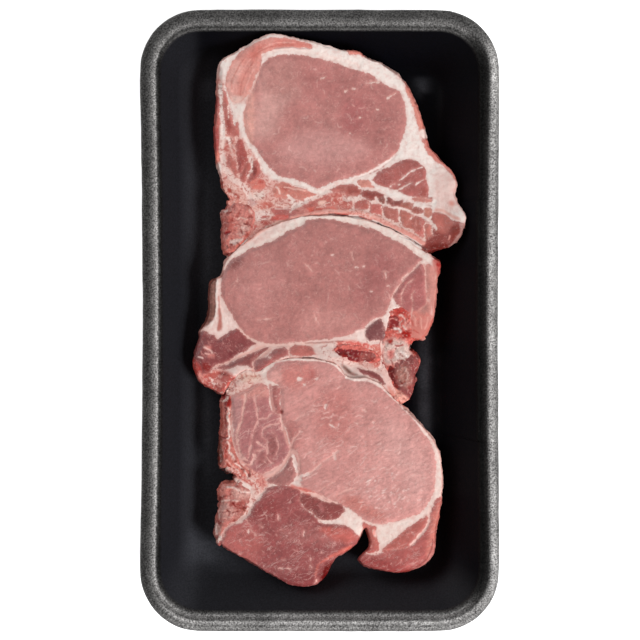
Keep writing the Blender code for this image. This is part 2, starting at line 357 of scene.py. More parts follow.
corners = [(-1, -1), (1, -1), (1, 1), (-1, 1)]
depth = distance(np.zeros((1, 2)), curve(corners, closed=True), closed=True)[0]
print("the middle of a rounded square of 2 mm lies", round(depth, 2), "mm inside its outline")


# %% [markdown]
# ## The foam tray
# The real tray is pressed from a sheet of black foam, with a rolled lip, a groove and an inner
# ridge. The solid is a stack of level rings, but the strips between them are split into
# triangles, and a subdivision surface is only smooth on even four-sided faces. So everything
# but the rings is deleted, and each pair of neighbours is bridged again.

# %% Keep only the level rings of the tray
tray = merged_copy("tray", "foam_tray")


def heights_of(edge):
    """The lower and the higher end of an edge of the tray, in mm."""
    return tuple(sorted(round(tray.data.vertices[number].co.z / MM, 3) for number in edge.vertices))


def select_edges(rule):
    """Selects the edges of the tray that fit a rule, and opens edit mode."""
    bpy.ops.object.mode_set(mode="EDIT")
    bpy.ops.mesh.select_mode(type="EDGE")
    bpy.ops.mesh.select_all(action="DESELECT")
    bpy.ops.object.mode_set(mode="OBJECT")
    for edge in tray.data.edges:
        edge.select = rule(edge)
    bpy.ops.object.mode_set(mode="EDIT")


sloping = {key for face in tray.data.polygons if abs(face.normal.z) < 0.9999 for key in face.edge_keys}
steps = sorted({heights_of(edge) for edge in tray.data.edges if heights_of(edge)[0] != heights_of(edge)[1]})
select_edges(lambda edge: heights_of(edge)[0] != heights_of(edge)[1] or edge.key not in sloping)
bpy.ops.mesh.delete(type="EDGE")
bpy.ops.object.mode_set(mode="OBJECT")
print("steps between rings:", len(steps))

# %% Bridge them again and close the floor
for first, second in steps:
    select_edges(lambda edge: heights_of(edge) in ((first, first), (second, second)))
    bpy.ops.mesh.bridge_edge_loops()
for height, uses in Counter(itertools.chain(*steps)).items():
    if uses == 1:
        select_edges(lambda edge: heights_of(edge) == (height, height))
        bpy.ops.mesh.edge_face_add()
bpy.ops.mesh.select_all(action="SELECT")
bpy.ops.mesh.normals_make_consistent(inside=False)
bpy.ops.object.mode_set(mode="OBJECT")
print("corners of the faces:", Counter(len(face.vertices) for face in tray.data.polygons))

# %% Cut the straight sides into short lengths and round everything
CUT_STEP = 7
CUT_SHIFT = 0.2
STRAIGHT_REACH = (42, 105)
ROUNDING_LOSS = (1.002, 1.003)
EDGE_HEIGHT = 25.6
HALF_WIDTH, HALF_LENGTH = 88, 153
outer = np.array([point[:2] for point in points_of(tray) if abs(point[2] - EDGE_HEIGHT) < 0.01])
outer = outer[np.argsort(np.arctan2(outer[:, 1] / HALF_LENGTH, outer[:, 0] / HALF_WIDTH))]
bpy.ops.object.mode_set(mode="EDIT")
for axis, reach in enumerate(STRAIGHT_REACH):
    direction = [0.0, 0.0, 0.0]
    direction[axis] = 1.0
    for place_of_cut in range(-reach, reach + 1, CUT_STEP):
        bpy.ops.mesh.select_all(action="SELECT")
        spot = [part * (place_of_cut + CUT_SHIFT) * MM for part in direction]
        bpy.ops.mesh.bisect(plane_co=spot, plane_no=direction)
bpy.ops.object.mode_set(mode="OBJECT")
apply(tray, "SUBSURF", levels=2, render_levels=2)
points, facing = points_of(tray), normals_of(tray)
wave = 0.12 * hills(points, 14, 11) + 0.08 * hills(points, 5, 12)
points = points + facing * (wave * ease(points[:, 2], 1.0, 3.0))[:, None]
points[:, :2] *= ROUNDING_LOSS
move_points(tray, points)
bpy.ops.object.shade_smooth()
print("tray faces:", len(tray.data.polygons))

# %% [markdown]
# ### Painted light on the black foam
# The lip is painted paler where it faces the soft box, on the near and right sides most, and
# darker where it faces away: painted highlight and shade, set per side as a curve over the
# distance from the outer edge. The inside stays nearly black; painted light makes it lighter towards the
# left and the near end, with soft grey painted highlights where the floor bends up. Both are kept as
# attributes, so that the shader only has to mix.

# %% Painted light on the foam at each point
INWARD = [0, 1.5, 2.5, 3.5, 4.5, 5.5, 6.5, 7.5, 8.5, 9.5, 11]
PAINTED_LIP_LIGHT = {"left": [0.4, -0.2, -0.5, -0.15, 0.15, 0.6, 1.1, 1.6, -0.6, -2.0, -2.6],
            "far": [0.3, 0.25, 0.05, 0.1, 0.45, 0.55, 1.0, 0.7, -0.3, 0.5, -0.2],
            "near": [0.6, 1.4, 0.9, 1.65, 1.9, 0.7, 1.1, 1.4, 0.5, -0.1, -0.8],
            "right": [0.6, 1.6, 1.75, 1.75, 0.8, -1.0, -1.5, -2.4, -2.6, -2.5, -2.9]}
# Soft patches of painted highlight inside the tray, where the floor bends up: x, y, half width, half height
# and strength.
PAINTED_HIGHLIGHTS = [(-57, 42, 3, 30, 0.22), (-57, -45, 3, 34, 0.30), (53.5, -33, 3.2, 30, 0.70),
          (52, 119, 4, 4, 0.30), (-56, 117, 4, 6, 0.16), (-57, -117, 6, 6, 0.22), (54, 52, 3, 12, 0.12)]
across, along = points[:, 0] / HALF_WIDTH, points[:, 1] / HALF_LENGTH
sides = {"left": -across - np.abs(along), "right": across - np.abs(along),
         "far": along - np.abs(across), "near": -along - np.abs(across)}
inward = np.zeros(len(points))
on_rim = points[:, 2] > 20
inward[on_rim] = distance(points[on_rim, :2], outer, True)
paleness = np.zeros(len(points))
total = np.zeros(len(points))
for side, nearness in sides.items():
    share = ease(nearness, -0.16, 0.16)
    paleness += share * np.interp(inward, INWARD, PAINTED_LIP_LIGHT[side])
    total += share
paleness = paleness / total + 0.20 * hills(points, 9, 31) + 0.16 * hills(points, 3, 32)
# Painted light inside the tray: the floor and low walls lighter towards the left and the near end, the left
# wall and the upper near wall lighter, and the patches above as painted highlights.
low_down = ease(points[:, 2], 16, 6)
scuffed = 0.24 * low_down * ease(-0.8 * points[:, 0] / 80 - 0.45 * points[:, 1] / 140, -0.4, 0.3)
scuffed += 0.09 * ease(across, -0.66, -0.74)
scuffed += 0.21 * (1 - low_down) * ease(sides["near"], -0.1, 0.2)
for x, y, half_width, half_height, strength in PAINTED_HIGHLIGHTS:
    reach = ((points[:, 0] - x) / half_width) ** 2 + ((points[:, 1] - y) / half_height) ** 4
    scuffed = scuffed + strength * np.exp(-reach) * (1 + 0.3 * hills(points, 4, 33))
store(tray, "paleness", paleness)
store(tray, "scuffed", scuffed)
print("foam from", round(paleness.min(), 2), "to", round(paleness.max(), 2))

# %% Black foam finish
LIP_FROM, LIP_TO = 23.8 * MM, 25.4 * MM
finish, tree, place, shader = new_material("black_foam")
height = wire(tree, "SeparateXYZ", {0: place}).outputs["Z"]
on_lip = spread(tree, height, LIP_FROM, LIP_TO, soft=True)
beads = cells_at(tree, place, 1100.0)
specks = noise_at(tree, place, 1300.0)
patches = noise_at(tree, place, 420.0, 3.0)
# Inside the tray the near-black skin is mixed towards grey by the painted light and highlights.
painted_light_amount = combine(tree, "MULTIPLY", stored(tree, "scuffed"), spread(tree, specks, 0.3, 0.7, 0.75, 1.25))
skin = mix(tree, spread(tree, specks, 0.35, 0.7), shade(5, 5, 9, 0), shade(9, 9, 15, 0))
skin = mix(tree, painted_light_amount, skin, shade(84, 85, 91, 0))
# The lip foam colour, multiplied below by the painted lip light and shade.
lip_foam = mix(tree, spread(tree, specks, 0.34, 0.68), shade(38, 37, 37, 0), shade(100, 99, 98, 0))
lip_foam = mix(tree, spread(tree, patches, 0.35, 0.65, 0.0, 0.4), lip_foam, shade(52, 51, 50, 0))
lip_light_gain = wire(tree, "Math", {0: stored(tree, "paleness")}, operation="EXPONENT").outputs[0]
lip_foam = mix(tree, 1.0, lip_foam, lip_light_gain, "MULTIPLY")
tree.links.new(mix(tree, on_lip, skin, lip_foam), shader.inputs["Base Color"])
tree.links.new(spread(tree, on_lip, 0, 1, 0.48, 0.42), shader.inputs["Roughness"])
shader.inputs["Specular IOR Level"].default_value = 0.06
relief = combine(tree, "ADD", beads, specks)
relief = combine(tree, "MULTIPLY", relief, spread(tree, on_lip, 0, 1, 0.25, 1.0))
emboss(tree, shader, relief, 0.25)
tray.data.materials.append(finish)
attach(tray, "root")
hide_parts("tray")
print("tray finished")

# %% [markdown]
# ## Painting a slice of meat
# Seen from above, a chop is a map: muscles in several reds and pinks, white fat and thin
# seams between them, pieces of cut bone. A cutting list says it in the order that a painter
# would work. Each line names the kind of mark, its colour, one size in millimetres and the
# points of its outline. The marks are stored on the points of the mesh as three layers:
# how deep inside a muscle a point lies, the colour it has if it is lean, and the colour it
# has if it is fat. The shader then draws the border between lean and fat with a ragged edge.

# %% Laying the marks of a cutting list
REACH = 6.0
CLOSED_KINDS = ("lean", "fat", "flush", "stain", "pit", "mess")


def rows_of(listing):
    """The rows of a cutting list; a line that starts with a blank goes on with the row above it."""
    return listing.strip().replace("\n ", " ").splitlines()


def lay_marks(spots, listing, base):
    """Returns lean depth, lean colour, fat colour, busyness and lift in mm for the marks of a listing."""
    depth = np.full(len(spots), -REACH)
    lean = np.tile(np.array(shade(170, 105, 100)), (len(spots), 1))
    fat = np.tile(np.array(shade(*base)), (len(spots), 1))
    busy = np.zeros(len(spots))
    lift = np.zeros(len(spots))
    for row in rows_of(listing):
        head, outline = row.split("|")
        kind, colour, size = head.split()
        colour = np.array(shade(*map(float, colour.split(","))))
        size = float(size)
        closed = kind in CLOSED_KINDS
        line = curve([tuple(map(float, pair.split(","))) for pair in outline.split()], closed)
        near = ((spots > line.min(0) - REACH) & (spots < line.max(0) + REACH)).all(1)
        if not near.any():
            continue
        gap = distance(spots[near], line, closed)
        if kind == "lean":
            gap = gap + (0.35 if size <= 0.3 else 0)
            cover = ease(gap, -0.7, 0.3)
            depth[near] = np.maximum(depth[near], gap)
            lift[near] += size * ease(gap, -0.2, 2.2)
            targets = (lean,)
        elif kind == "seam":
            depth[near] = np.minimum(depth[near], gap - size / 2)
            cover = ease(gap, size / 2 + 0.9, size / 2 + 0.2)
            lift[near] -= 0.16 * ease(gap, size / 2 + 0.7, 0)
            targets = (fat,)
        elif kind in ("fat", "flush", "stain"):
            cover = ease(gap, -size, size)
            targets = {"fat": (fat,), "flush": (lean,), "stain": (lean, fat)}[kind]
        elif kind == "mess":
            cover = ease(gap, -size, size)
            busy[near] = np.maximum(busy[near], cover)
            targets = (fat,)
        # A pit sinks a small hollow and paints it dark: painted shade in the hollow.
        elif kind == "pit":
            cover = ease(gap, -0.4, 0.4)
            lift[near] -= size * ease(gap, -0.5, 1.0)
            targets = (lean, fat)
        else:
            # A line only paints; a lip also rises, and a slit sinks a thin groove painted dark, as painted
            # shadow in the gap where two pieces meet.
            cover = ease(gap, size / 2 + 0.35, size / 2 - 0.35)
            lift[near] += {"line": 0.0, "slit": -0.5, "lip": 0.5}[kind] * ease(gap, size * 0.75 + 0.2, 0)
            targets = (lean, fat)
        for layer in targets:
            layer[near] += cover[:, None] * (colour - layer[near])
    return np.clip(depth, -REACH, REACH), lean, fat, busy, lift


print("marks with a closed outline:", ", ".join(CLOSED_KINDS))


# %% [markdown]
# ### The far chop
# This slice comes from the rib end. One big pale eye muscle sits in white fat, a dark muscle
# flanks it, a salmon cap covers its corner, and below it a row of small muscles separated
# by fat runs along the rib side, which ends in a raised moist membrane.

# %% Cutting list of the far chop
FAR_FAT = (244, 229, 222)
# Painted light in this list: the slit rows paint the shadow in the gap under the raised membrane, the palest
# salmon line along the membrane is a painted highlight on its rounded edge, and the three short dark lines
# near x 53 to 57, y 58 to 62 are painted shade in small hollows.
FAR_MARKS = """
mess 230,176,166 1.5 | -54,118 -48,120 -45,108 -41,96 -36,88 -30,80 -26,72 -14,69 0,64 14,66 18,60 8,54
 -8,52 -24,51 -33,49 -40,57 -50,60 -51,68 -49,78 -54,84
mess 226,158,146 1 | -36,40 -22,45 -22,50 -10,54 -24,56 -34,52
mess 238,206,196 1.5 | 16,62 34,58 50,52 58,46 56,38 44,44 30,50 14,54
fat 238,208,200 3 | 60,75 68,72 71,62 64,54 58,60 57,68
fat 226,172,160 2 | -52,64 -44,70 -34,66 -22,58 -8,55 0,52 -10,46 -30,42 -48,56
fat 228,180,170 0.8 | -30,130 -32,122 -36,113 -38,109 -35.5,109 -33,113 -31,119 -29,127
lean 216,147,137 0.2 | -4,137.5 -8,139.5 -15,140.8 -23,141 -30,139.5 -36,136.5 -41,132.5 -44.5,128
 -46,124 -46.5,119 -45.5,114 -43.5,110.5 -41,109.8 -38.5,111 -36,113.6 -34,118.5 -32.4,123 -30.6,126.6
 -29.8,130 -27.5,134.2 -22,136.3 -15,136.8 -9,137 -5,136.5
flush 227,170,160 1.5 | -46,124 -41,131 -39,126 -42,118 -43,112 -46,112
flush 206,128,118 1.4 | -22,137 -5,137 -5,139 -20,140.5
flush 204,126,116 1.2 | -36,133 -32,137 -27,138.6 -29,135 -33,130
stain 232,190,180 1.2 | -44,112.5 -38,112.5 -38.5,109.5 -42.6,108.6
line 228,166,156 0.5 | -41.5,114 -41,120 -38.5,126 -34.5,131
line 200,126,116 0.5 | -39.6,113 -39,119 -36.5,125 -33,129.6
line 230,170,160 0.5 | -37.6,112.6 -37,117 -35.4,121.6 -33,126
line 202,128,118 0.5 | -43.8,116 -43.4,121 -40.6,127.4 -37,132
line 228,166,156 0.4 | -31,134.4 -26,137.6 -20,139 -12,139
line 194,116,106 0.5 | -33,132.4 -28,136 -21,137.6 -13,137.9
lean 190,130,125 0.5 | -27,130 -24,131.8 -18,133 -12,133.2 -5,132 2,130.8 10,128.3 15,126.5 22,125
 27,122.5 31,119.5 36,117.2 40,115 42,111.5 43.3,107 43.6,102 43,96 41.5,91 39.5,86 36,81 31,76.5
 25,73.5 18,72 11,70.8 4,68.5 0,66.5 -4,67.5 -8,69.5 -14,71.5 -20,72.5 -24,76 -27,79 -30,83 -32,86.5
 -34,89 -36,92 -37.5,97 -38,103 -37,108 -34.8,113.6 -32.8,118 -31,122.6 -29.4,127
flush 208,157,150 5 | -34,94 -31,112 -27,126 -14,127 -10,118 -19,105 -24,92
flush 188,134,128 4 | -27,116 -26,128 -12,129 -6,120 -14,112
flush 183,122,118 7 | -10,125 10,124 26,118 36,110 37,95 28,88 12,108 -4,114
flush 201,147,142 6 | -20,84 -6,78 14,80 24,86 10,94 -10,94
flush 176,112,110 4 | 12,95 22,96 22,110 12,109
flush 222,162,151 1.3 | -39,88 -33.6,88 -32.6,104 -33.6,116 -38,112 -40,102
lean 212,138,126 0.2 | 42.5,120.5 46.5,114 50,106 52.5,99 53.5,94 50.4,95 49.2,99 47.7,104 46.1,109.6
 44.5,113.6
lean 206,130,120 0.2 | 51.5,93 53,88 55,84.5 58,81 62,77.6 66,73.6 68,70.6 71,69 71,73 66,79 60,84 56,90
 54,95
flush 196,112,102 0.7 | 55,90 58,85.4 62,81 66,76.6 70,72 72,74 60,88
stain 244,224,216 0.7 | 50.2,95.4 55.4,95.8 55,92.8 53,91.6 50.6,92.4
lean 222,140,128 0.2 | 14.5,136 18,136.2 22,134.4 24.5,132 20,133.3 15,134.3
lean 177,108,103 0.5 | 26.5,70.5 28,73 31,75.5 35,77.5 40,80 44,81 48,80.5 52,78 54,75 53.5,72 54.5,68
 55,65 54.5,62 52,60.6 49,61.4 47,62 44,62.3 41,64 38,65.8 35,66.4 32,67.4 29,67.9
flush 168,98,94 1.5 | 30,69 34,69 36,72 32,73
flush 166,98,92 1.2 | 50,66 54,66 54,62 50,62
lean 183,113,105 0.3 | 6,67 15,68 19,67.5 20.5,65.5 20.3,63.5 18,62.5 14.5,62.6 12.5,64 9,65 6,65.3
flush 168,97,90 0.8 | 14,67 19,66.5 20,64 15,63.5
lean 205,140,128 0.2 | 19.5,69.5 22,70.5 24.5,69.8 27,67.5 25,66.8 21.5,67
lean 150,85,80 0.3 | 20.8,63.5 22.5,65 26,65 30,64 32.3,62.8 31.5,61.8 29,62 27.5,60.8 24,61.2 21.5,62.3
lean 137,86,79 0.2 | 29.3,60.8 31,61.8 32.6,61.8 32.8,60 31.5,59.3 30,59.8
lean 150,90,85 0.3 | 33.5,60.8 35,61.8 36.5,60.5 39,60 41.8,60 41.5,57.3 39,57 36,58 33.5,58.8
lean 165,105,95 0.3 | 42,58.6 46.4,58.8 46.6,55.7 42.2,55.6
lean 165,100,92 0.3 | 47,56.4 51.4,56 51.5,53.9 47.2,54
lean 195,130,115 0.2 | 53.2,56.2 56,56 55.8,52.2 53.4,52.2
lean 150,85,80 0.2 | 56.4,52.7 57.5,52.4 57.4,50.3 56.4,50.6
line 150,84,76 0.8 | 54,61.7 56.4,61.2
line 158,92,84 0.8 | 54.4,59.9 56.6,59.4
line 160,96,88 0.8 | 53,58.2 56,57.8
lean 185,110,102 0.3 | 18.5,59.8 24.5,59.6 24.3,56 18.7,56.2
lean 195,115,108 0.3 | 25.2,58 28,58.2 31,57.2 31,53.2 28,53.6 25.4,54.4
lean 180,112,104 0.3 | 32.5,57.2 36.5,56.5 40,55 40,49.8 36,51 32.6,52.8
lean 185,115,105 0.3 | 40.8,54.8 44.5,54.6 48.3,52.6 48.4,46 44,46.4 41.4,48.6
lean 195,115,108 0.3 | 48.7,51.3 52.3,50.8 52.2,42.6 48.6,44
lean 192,118,108 0.2 | 53.3,47.4 55.6,47.2 55.6,41.5 53.2,41.6
mess 190,112,104 0.8 | 56.5,45.5 61.5,45.5 61.5,40.5 56.5,40.5
mess 208,126,116 0.8 | 3.5,62.5 8,64.3 14,62 16.5,59 15,56 8,55.4 3.5,56
stain 175,105,98 0.6 | 12,62.8 15.5,62 16,59.6 12.4,59.2
lean 192,112,104 0.2 | -9.5,56.7 -5,59 0,61.2 4,63 5,60.6 1,58.6 -3,56.6 -7,55.6
stain 236,192,178 0.6 | -0.4,59.8 3,60.2 2.6,58 -0.4,57.8
lean 206,100,88 0.2 | -6.5,55.8 -2,56.2 2.4,55.8 2,53.9 -3,53.5 -6,54
lean 226,132,120 0.2 | 2.8,56.4 8,56.8 8.4,54.8 3,54.4
lean 205,131,122 0.2 | -12,56 -8,56.4 -6,54.6 -8,52.8 -12,52.6
line 150,84,76 0.7 | -12.4,55.4 -11,55.2
lean 206,132,120 0.3 | -22,68 -18,69 -14,67.5 -8,65.5 -4,63.8 -1,62.8 -4,61.8 -8,60.7 -12,61.6 -15,61.6
 -20,61.6 -23,63
flush 190,106,96 0.7 | -19,67 -14.5,67.8 -13.5,65.6 -18,65
line 240,190,178 0.6 | -17.6,66.8 -13,66.3 -7,65
line 240,206,196 0.8 | -22,67 -20.4,65.4 -20,63.6
stain 218,170,160 0.7 | -22,60.6 -14,60.6 -13.4,57.4 -22,57.6
line 240,208,198 0.6 | -20.6,57.8 -16.6,57.5
lean 190,110,104 0.2 | -23,56 -15,56.2 -12.6,54.6 -13.6,52 -22,53
line 240,212,204 0.5 | -22,56.2 -17.6,56.4 -14.6,56.6
stain 215,98,90 0.7 | -24,50 -17,50.6 -15.6,52.6 -19,53.3 -24,52.2
seam 242,222,214 1.4 | -15.6,62.6 -13.6,61 -12,58 -10,58.6 -6,60.6 0,63.4 3,65
seam 242,222,214 1.2 | -12.4,58.2 -13.6,56 -14.4,55
lean 150,80,75 0.2 | 57,54 60,53.8 63,52.7 66.4,49.9 70.4,48.8 72.5,47.5 74,44 72,39 67,34 60,31 52,35
 53.6,40 56.4,42.4 57.4,45 57,49
flush 190,114,105 1.8 | 56.5,54.5 60,54.3 63,53.2 66.4,50.4 68,48 63,44 58,46
stain 232,180,168 0.8 | 58,54.8 62,54.2 66,51.4 70,49.8 70.4,51.4 66,53.6 62,56 58,56.6
stain 136,70,64 1.5 | 66.5,47.3 71,47 71,41 68,38 65.6,40 66.4,44
stain 116,56,53 1.8 | 56,38 62,39 67,38.6 66,33 58,30 52,33
stain 172,130,124 0.6 | 70.6,48.8 73.4,47.8 73,44 70.4,40 67.8,36.4 65.4,34.6 64.4,36.6 67,39.4 69,42
 71,45
line 218,152,142 0.8 | 65.2,42.5 64.8,40.8
stain 226,160,148 1 | 65,60 67.4,59.6 67.4,57.6 65,58
lean 178,88,84 0.2 | -54,80 -54,111 -50.6,111 -50.4,100 -50.6,90 -51,82
flush 196,112,104 0.6 | -53,98 -50,98 -50,106 -53,106
stain 220,130,115 0.8 | -53.5,79.5 -50,80 -50,84.5 -53.5,84.5
lean 190,115,108 0.3 | -48.2,115 -46.8,113 -45,108 -43.7,102 -42.6,98.6 -41,99 -40.4,95 -40.6,92.8
 -43,92.4 -45.8,94 -46.8,98 -47.4,103 -48.2,110
flush 172,94,88 0.7 | -47,104 -45.4,104 -44,98 -45,95 -46.4,97
lean 175,95,90 0.3 | -39.6,91 -37.8,87 -36.6,82 -36.4,80 -38,77.5 -39.6,74.4 -40.6,74.4 -41.2,79
 -41.6,84 -41.6,87
lean 182,105,98 0.3 | -37,79 -35.2,78.6 -35,76 -36.5,72.4 -37.8,70 -39.2,70.4 -39.4,73 -38,76.6
lean 178,104,98 0.3 | -32,80 -30.5,79.2 -30.2,76 -30.6,72.4 -33,69.4 -36.2,69 -35,71.8 -33.4,75 -32.8,79
flush 140,76,72 0.5 | -33.4,78 -31.4,76 -32,73 -33.6,74
lean 186,112,104 0.3 | -46.6,79 -44.8,76.5 -43,73.6 -41.7,72 -41.9,76 -42.6,79 -44.4,82 -45.8,83.6
mess 212,148,138 0.8 | -48.6,93 -48.6,83 -46,84.4 -43,82 -42.4,92
line 236,198,188 0.7 | -45.6,92 -44.8,87 -43.4,83
line 168,96,88 0.6 | -44.2,91.4 -43.6,86.6
line 196,136,124 0.5 | -48.6,118 -48.5,108
line 128,82,66 0.7 | -49,96 -48.8,93.4
line 120,74,58 0.6 | -49.2,89.4 -49,87
stain 234,204,194 0.6 | -50.2,98 -48.4,98 -47.8,91 -48.4,83 -50,83
seam 242,220,212 0.7 | -47.4,91.8 -45.6,91.2 -45.2,89.4
line 128,70,58 0.7 | -46.8,90 -46.3,89
stain 172,78,68 0.6 | -50.5,70.4 -48.5,69.9 -47,67.8 -48.5,66.7 -50,68
stain 170,75,65 0.6 | -46.5,66.6 -44.5,66.3 -43.5,64.6 -45.5,64.4
stain 176,80,70 0.6 | -43,64 -41,63.4 -39.4,61.6 -41.5,61
stain 228,152,140 1.0 | -47,62.4 -43,62.4 -40,59.4 -43,57 -48,57.4
line 120,60,52 0.6 | -39.6,58.6 -37.4,58.2
stain 204,164,158 0.6 | -36,60.4 -32.4,62 -31.6,58.4 -35,57.4
stain 240,216,206 0.8 | -33,64.4 -28.6,64.6 -28.2,61.4 -33,60.4
line 150,96,84 0.6 | -31.8,62.6 -31.3,62.2
line 140,86,76 0.6 | -29.2,61.4 -28.8,61
line 120,72,64 0.6 | -33.6,60.8 -33.2,60.4
lean 214,126,114 0.2 | -34,67 -31,66 -27.6,67 -28,70 -31,71 -34,69
flush 200,96,88 0.7 | -30.5,69 -28.4,69 -28.4,70.6 -30,70.6
stain 206,120,108 0.7 | -30,58.6 -24,59.6 -23.5,57 -29.5,55.6
stain 240,212,204 1.0 | -32.4,54.4 -26,55 -23.6,53 -27,50.6 -32,50
line 190,92,84 0.7 | -28.6,52 -25.6,52.4
stain 184,90,82 0.6 | -29.8,49.5 -26,49.9 -24.6,48.4 -28,47.5
stain 229,150,138 1.2 | -35.6,42 -29,43 -28,47 -33,48 -36,45.6
stain 214,104,96 0.5 | -34,47.6 -31.6,47.8 -31.6,46 -33.6,45.8
seam 244,229,222 1.0 | -49.6,118 -49.2,105 -48.5,98 -49,92
seam 244,229,222 0.8 | -47,117 -45.3,110 -43.6,103 -42.2,97.5
seam 242,222,214 0.8 | -45.6,108 -45.6,102
fat 240,222,214 0.8 | -43,99.6 -40,100 -39.4,107 -41,109.4 -43,105
seam 238,208,199 1.7 | -49,83 -47.7,77 -45.7,73.4 -42.7,70.6 -40,69.4 -37,66.4 -35,62.4
seam 242,224,216 1.3 | -36,91 -33.5,86 -30.5,81.6 -28.6,77 -25,73.6
seam 240,220,212 0.8 | -34.6,81 -33.8,77 -35.4,73
seam 242,226,218 1.1 | -28,76 -22,71.6 -15,70.3 -8,67 0,64.5 3,65.5 10,68.5 20,71
seam 244,229,222 1.4 | 18,72 22,73 28,75.8 34,79.6 38,83
seam 244,229,222 1.6 | 26.7,68.4 33,65.8 40,62.6 46,60.2 52,59 58,59.4
seam 242,222,214 0.8 | 20,66.2 26,66.4 31,64.6 33.4,62.2 33,58.6
seam 242,222,214 0.8 | 28.2,61.8 28.2,59.4
fat 240,218,209 0.8 | 13.6,62.2 24.5,61.2 27.6,60.2 27.6,58.8 24.5,60.2 13.6,60.2
seam 240,216,207 0.7 | 31,59 31.8,53.4
seam 240,220,212 0.8 | 40.2,55 40.4,51 42,47.5
seam 242,224,216 1.2 | 33,58.4 38,56.8 44.6,55.2 47,53.6 50,52.6 53,51.8 55,50 56.5,48 58.5,46
seam 240,220,212 0.6 | 45.7,50.6 48,52.4
seam 236,200,190 0.5 | 52.4,47.4 52.8,43
seam 236,200,190 0.5 | 56,46.8 57,43.4
lean 196,132,122 0.2 | 46.5,61 50,61.5 54,61.1 56,60.2 54,59.5 50,59.7 47.4,60.1
lean 178,108,100 0.3 | 47,51.4 49.8,50.6 50,45.4 47,46.2
line 206,146,136 0.5 | 48.4,50.6 48.9,47.6
seam 240,216,207 0.6 | 24.8,59.8 25,54.4
seam 244,229,222 0.5 | 40,70 45,74 49,76.5 52,77
seam 240,222,214 0.5 | 39,65 43,67.5 46,69
seam 240,222,214 0.4 | 35,66 37,68.5 40,68
seam 240,222,214 0.4 | 48,68 51,70 54,71
seam 236,210,200 0.7 | 24,119 30,119.5
seam 236,210,200 0.7 | 34,111 38,113.5
seam 236,210,200 1.1 | 1.2,121.5 2,121.6
seam 236,210,200 0.8 | 16.8,116 17.5,116.2
seam 236,210,200 0.7 | 12.8,115 13.4,115
seam 236,210,200 0.8 | 28.6,105.5 29.6,105.7
seam 236,210,200 0.7 | 19.7,102 20.4,102.1
seam 236,210,200 0.6 | 14.8,94 15.4,94
seam 242,222,214 1.2 | -28.5,133 -20,135.2 -10,135 0,133 10,130.2 20,127.6
line 178,150,146 0.5 | -22,136.3 -14,136.6 -5,136
lip 234,162,150 2.4 | -14,51.8 -6,52.8 2,54 8,54.4 14,54.7 22,53.4 30,50.4 38,46.7 46,42.7 52,39
line 250,188,176 0.7 | 2,54.8 12,55.3 21,54 29,51.4 38,47.6
line 196,84,76 0.8 | 7,53.3 11,53.4 14.4,53.2
line 200,92,84 0.7 | 20,51.9 26,50.4
slit 96,20,16 0.6 | 5,53.3 14,52.6 22,50.8 30,48.2
slit 66,10,8 1.2 | 29,48.4 33,46.9 38,44.6 42,42.4
slit 96,20,16 0.7 | 41,42.8 46,40.4 53,36
"""
print("marks on the far chop:", len(rows_of(FAR_MARKS)))

# %% [markdown]
# ### The middle chop
# It is cut nearer to the loin: the eye is rounder under an even cap of fat, a dark muscle
# hangs on the left, and the body of a vertebra with a rib end lies in the lower right.

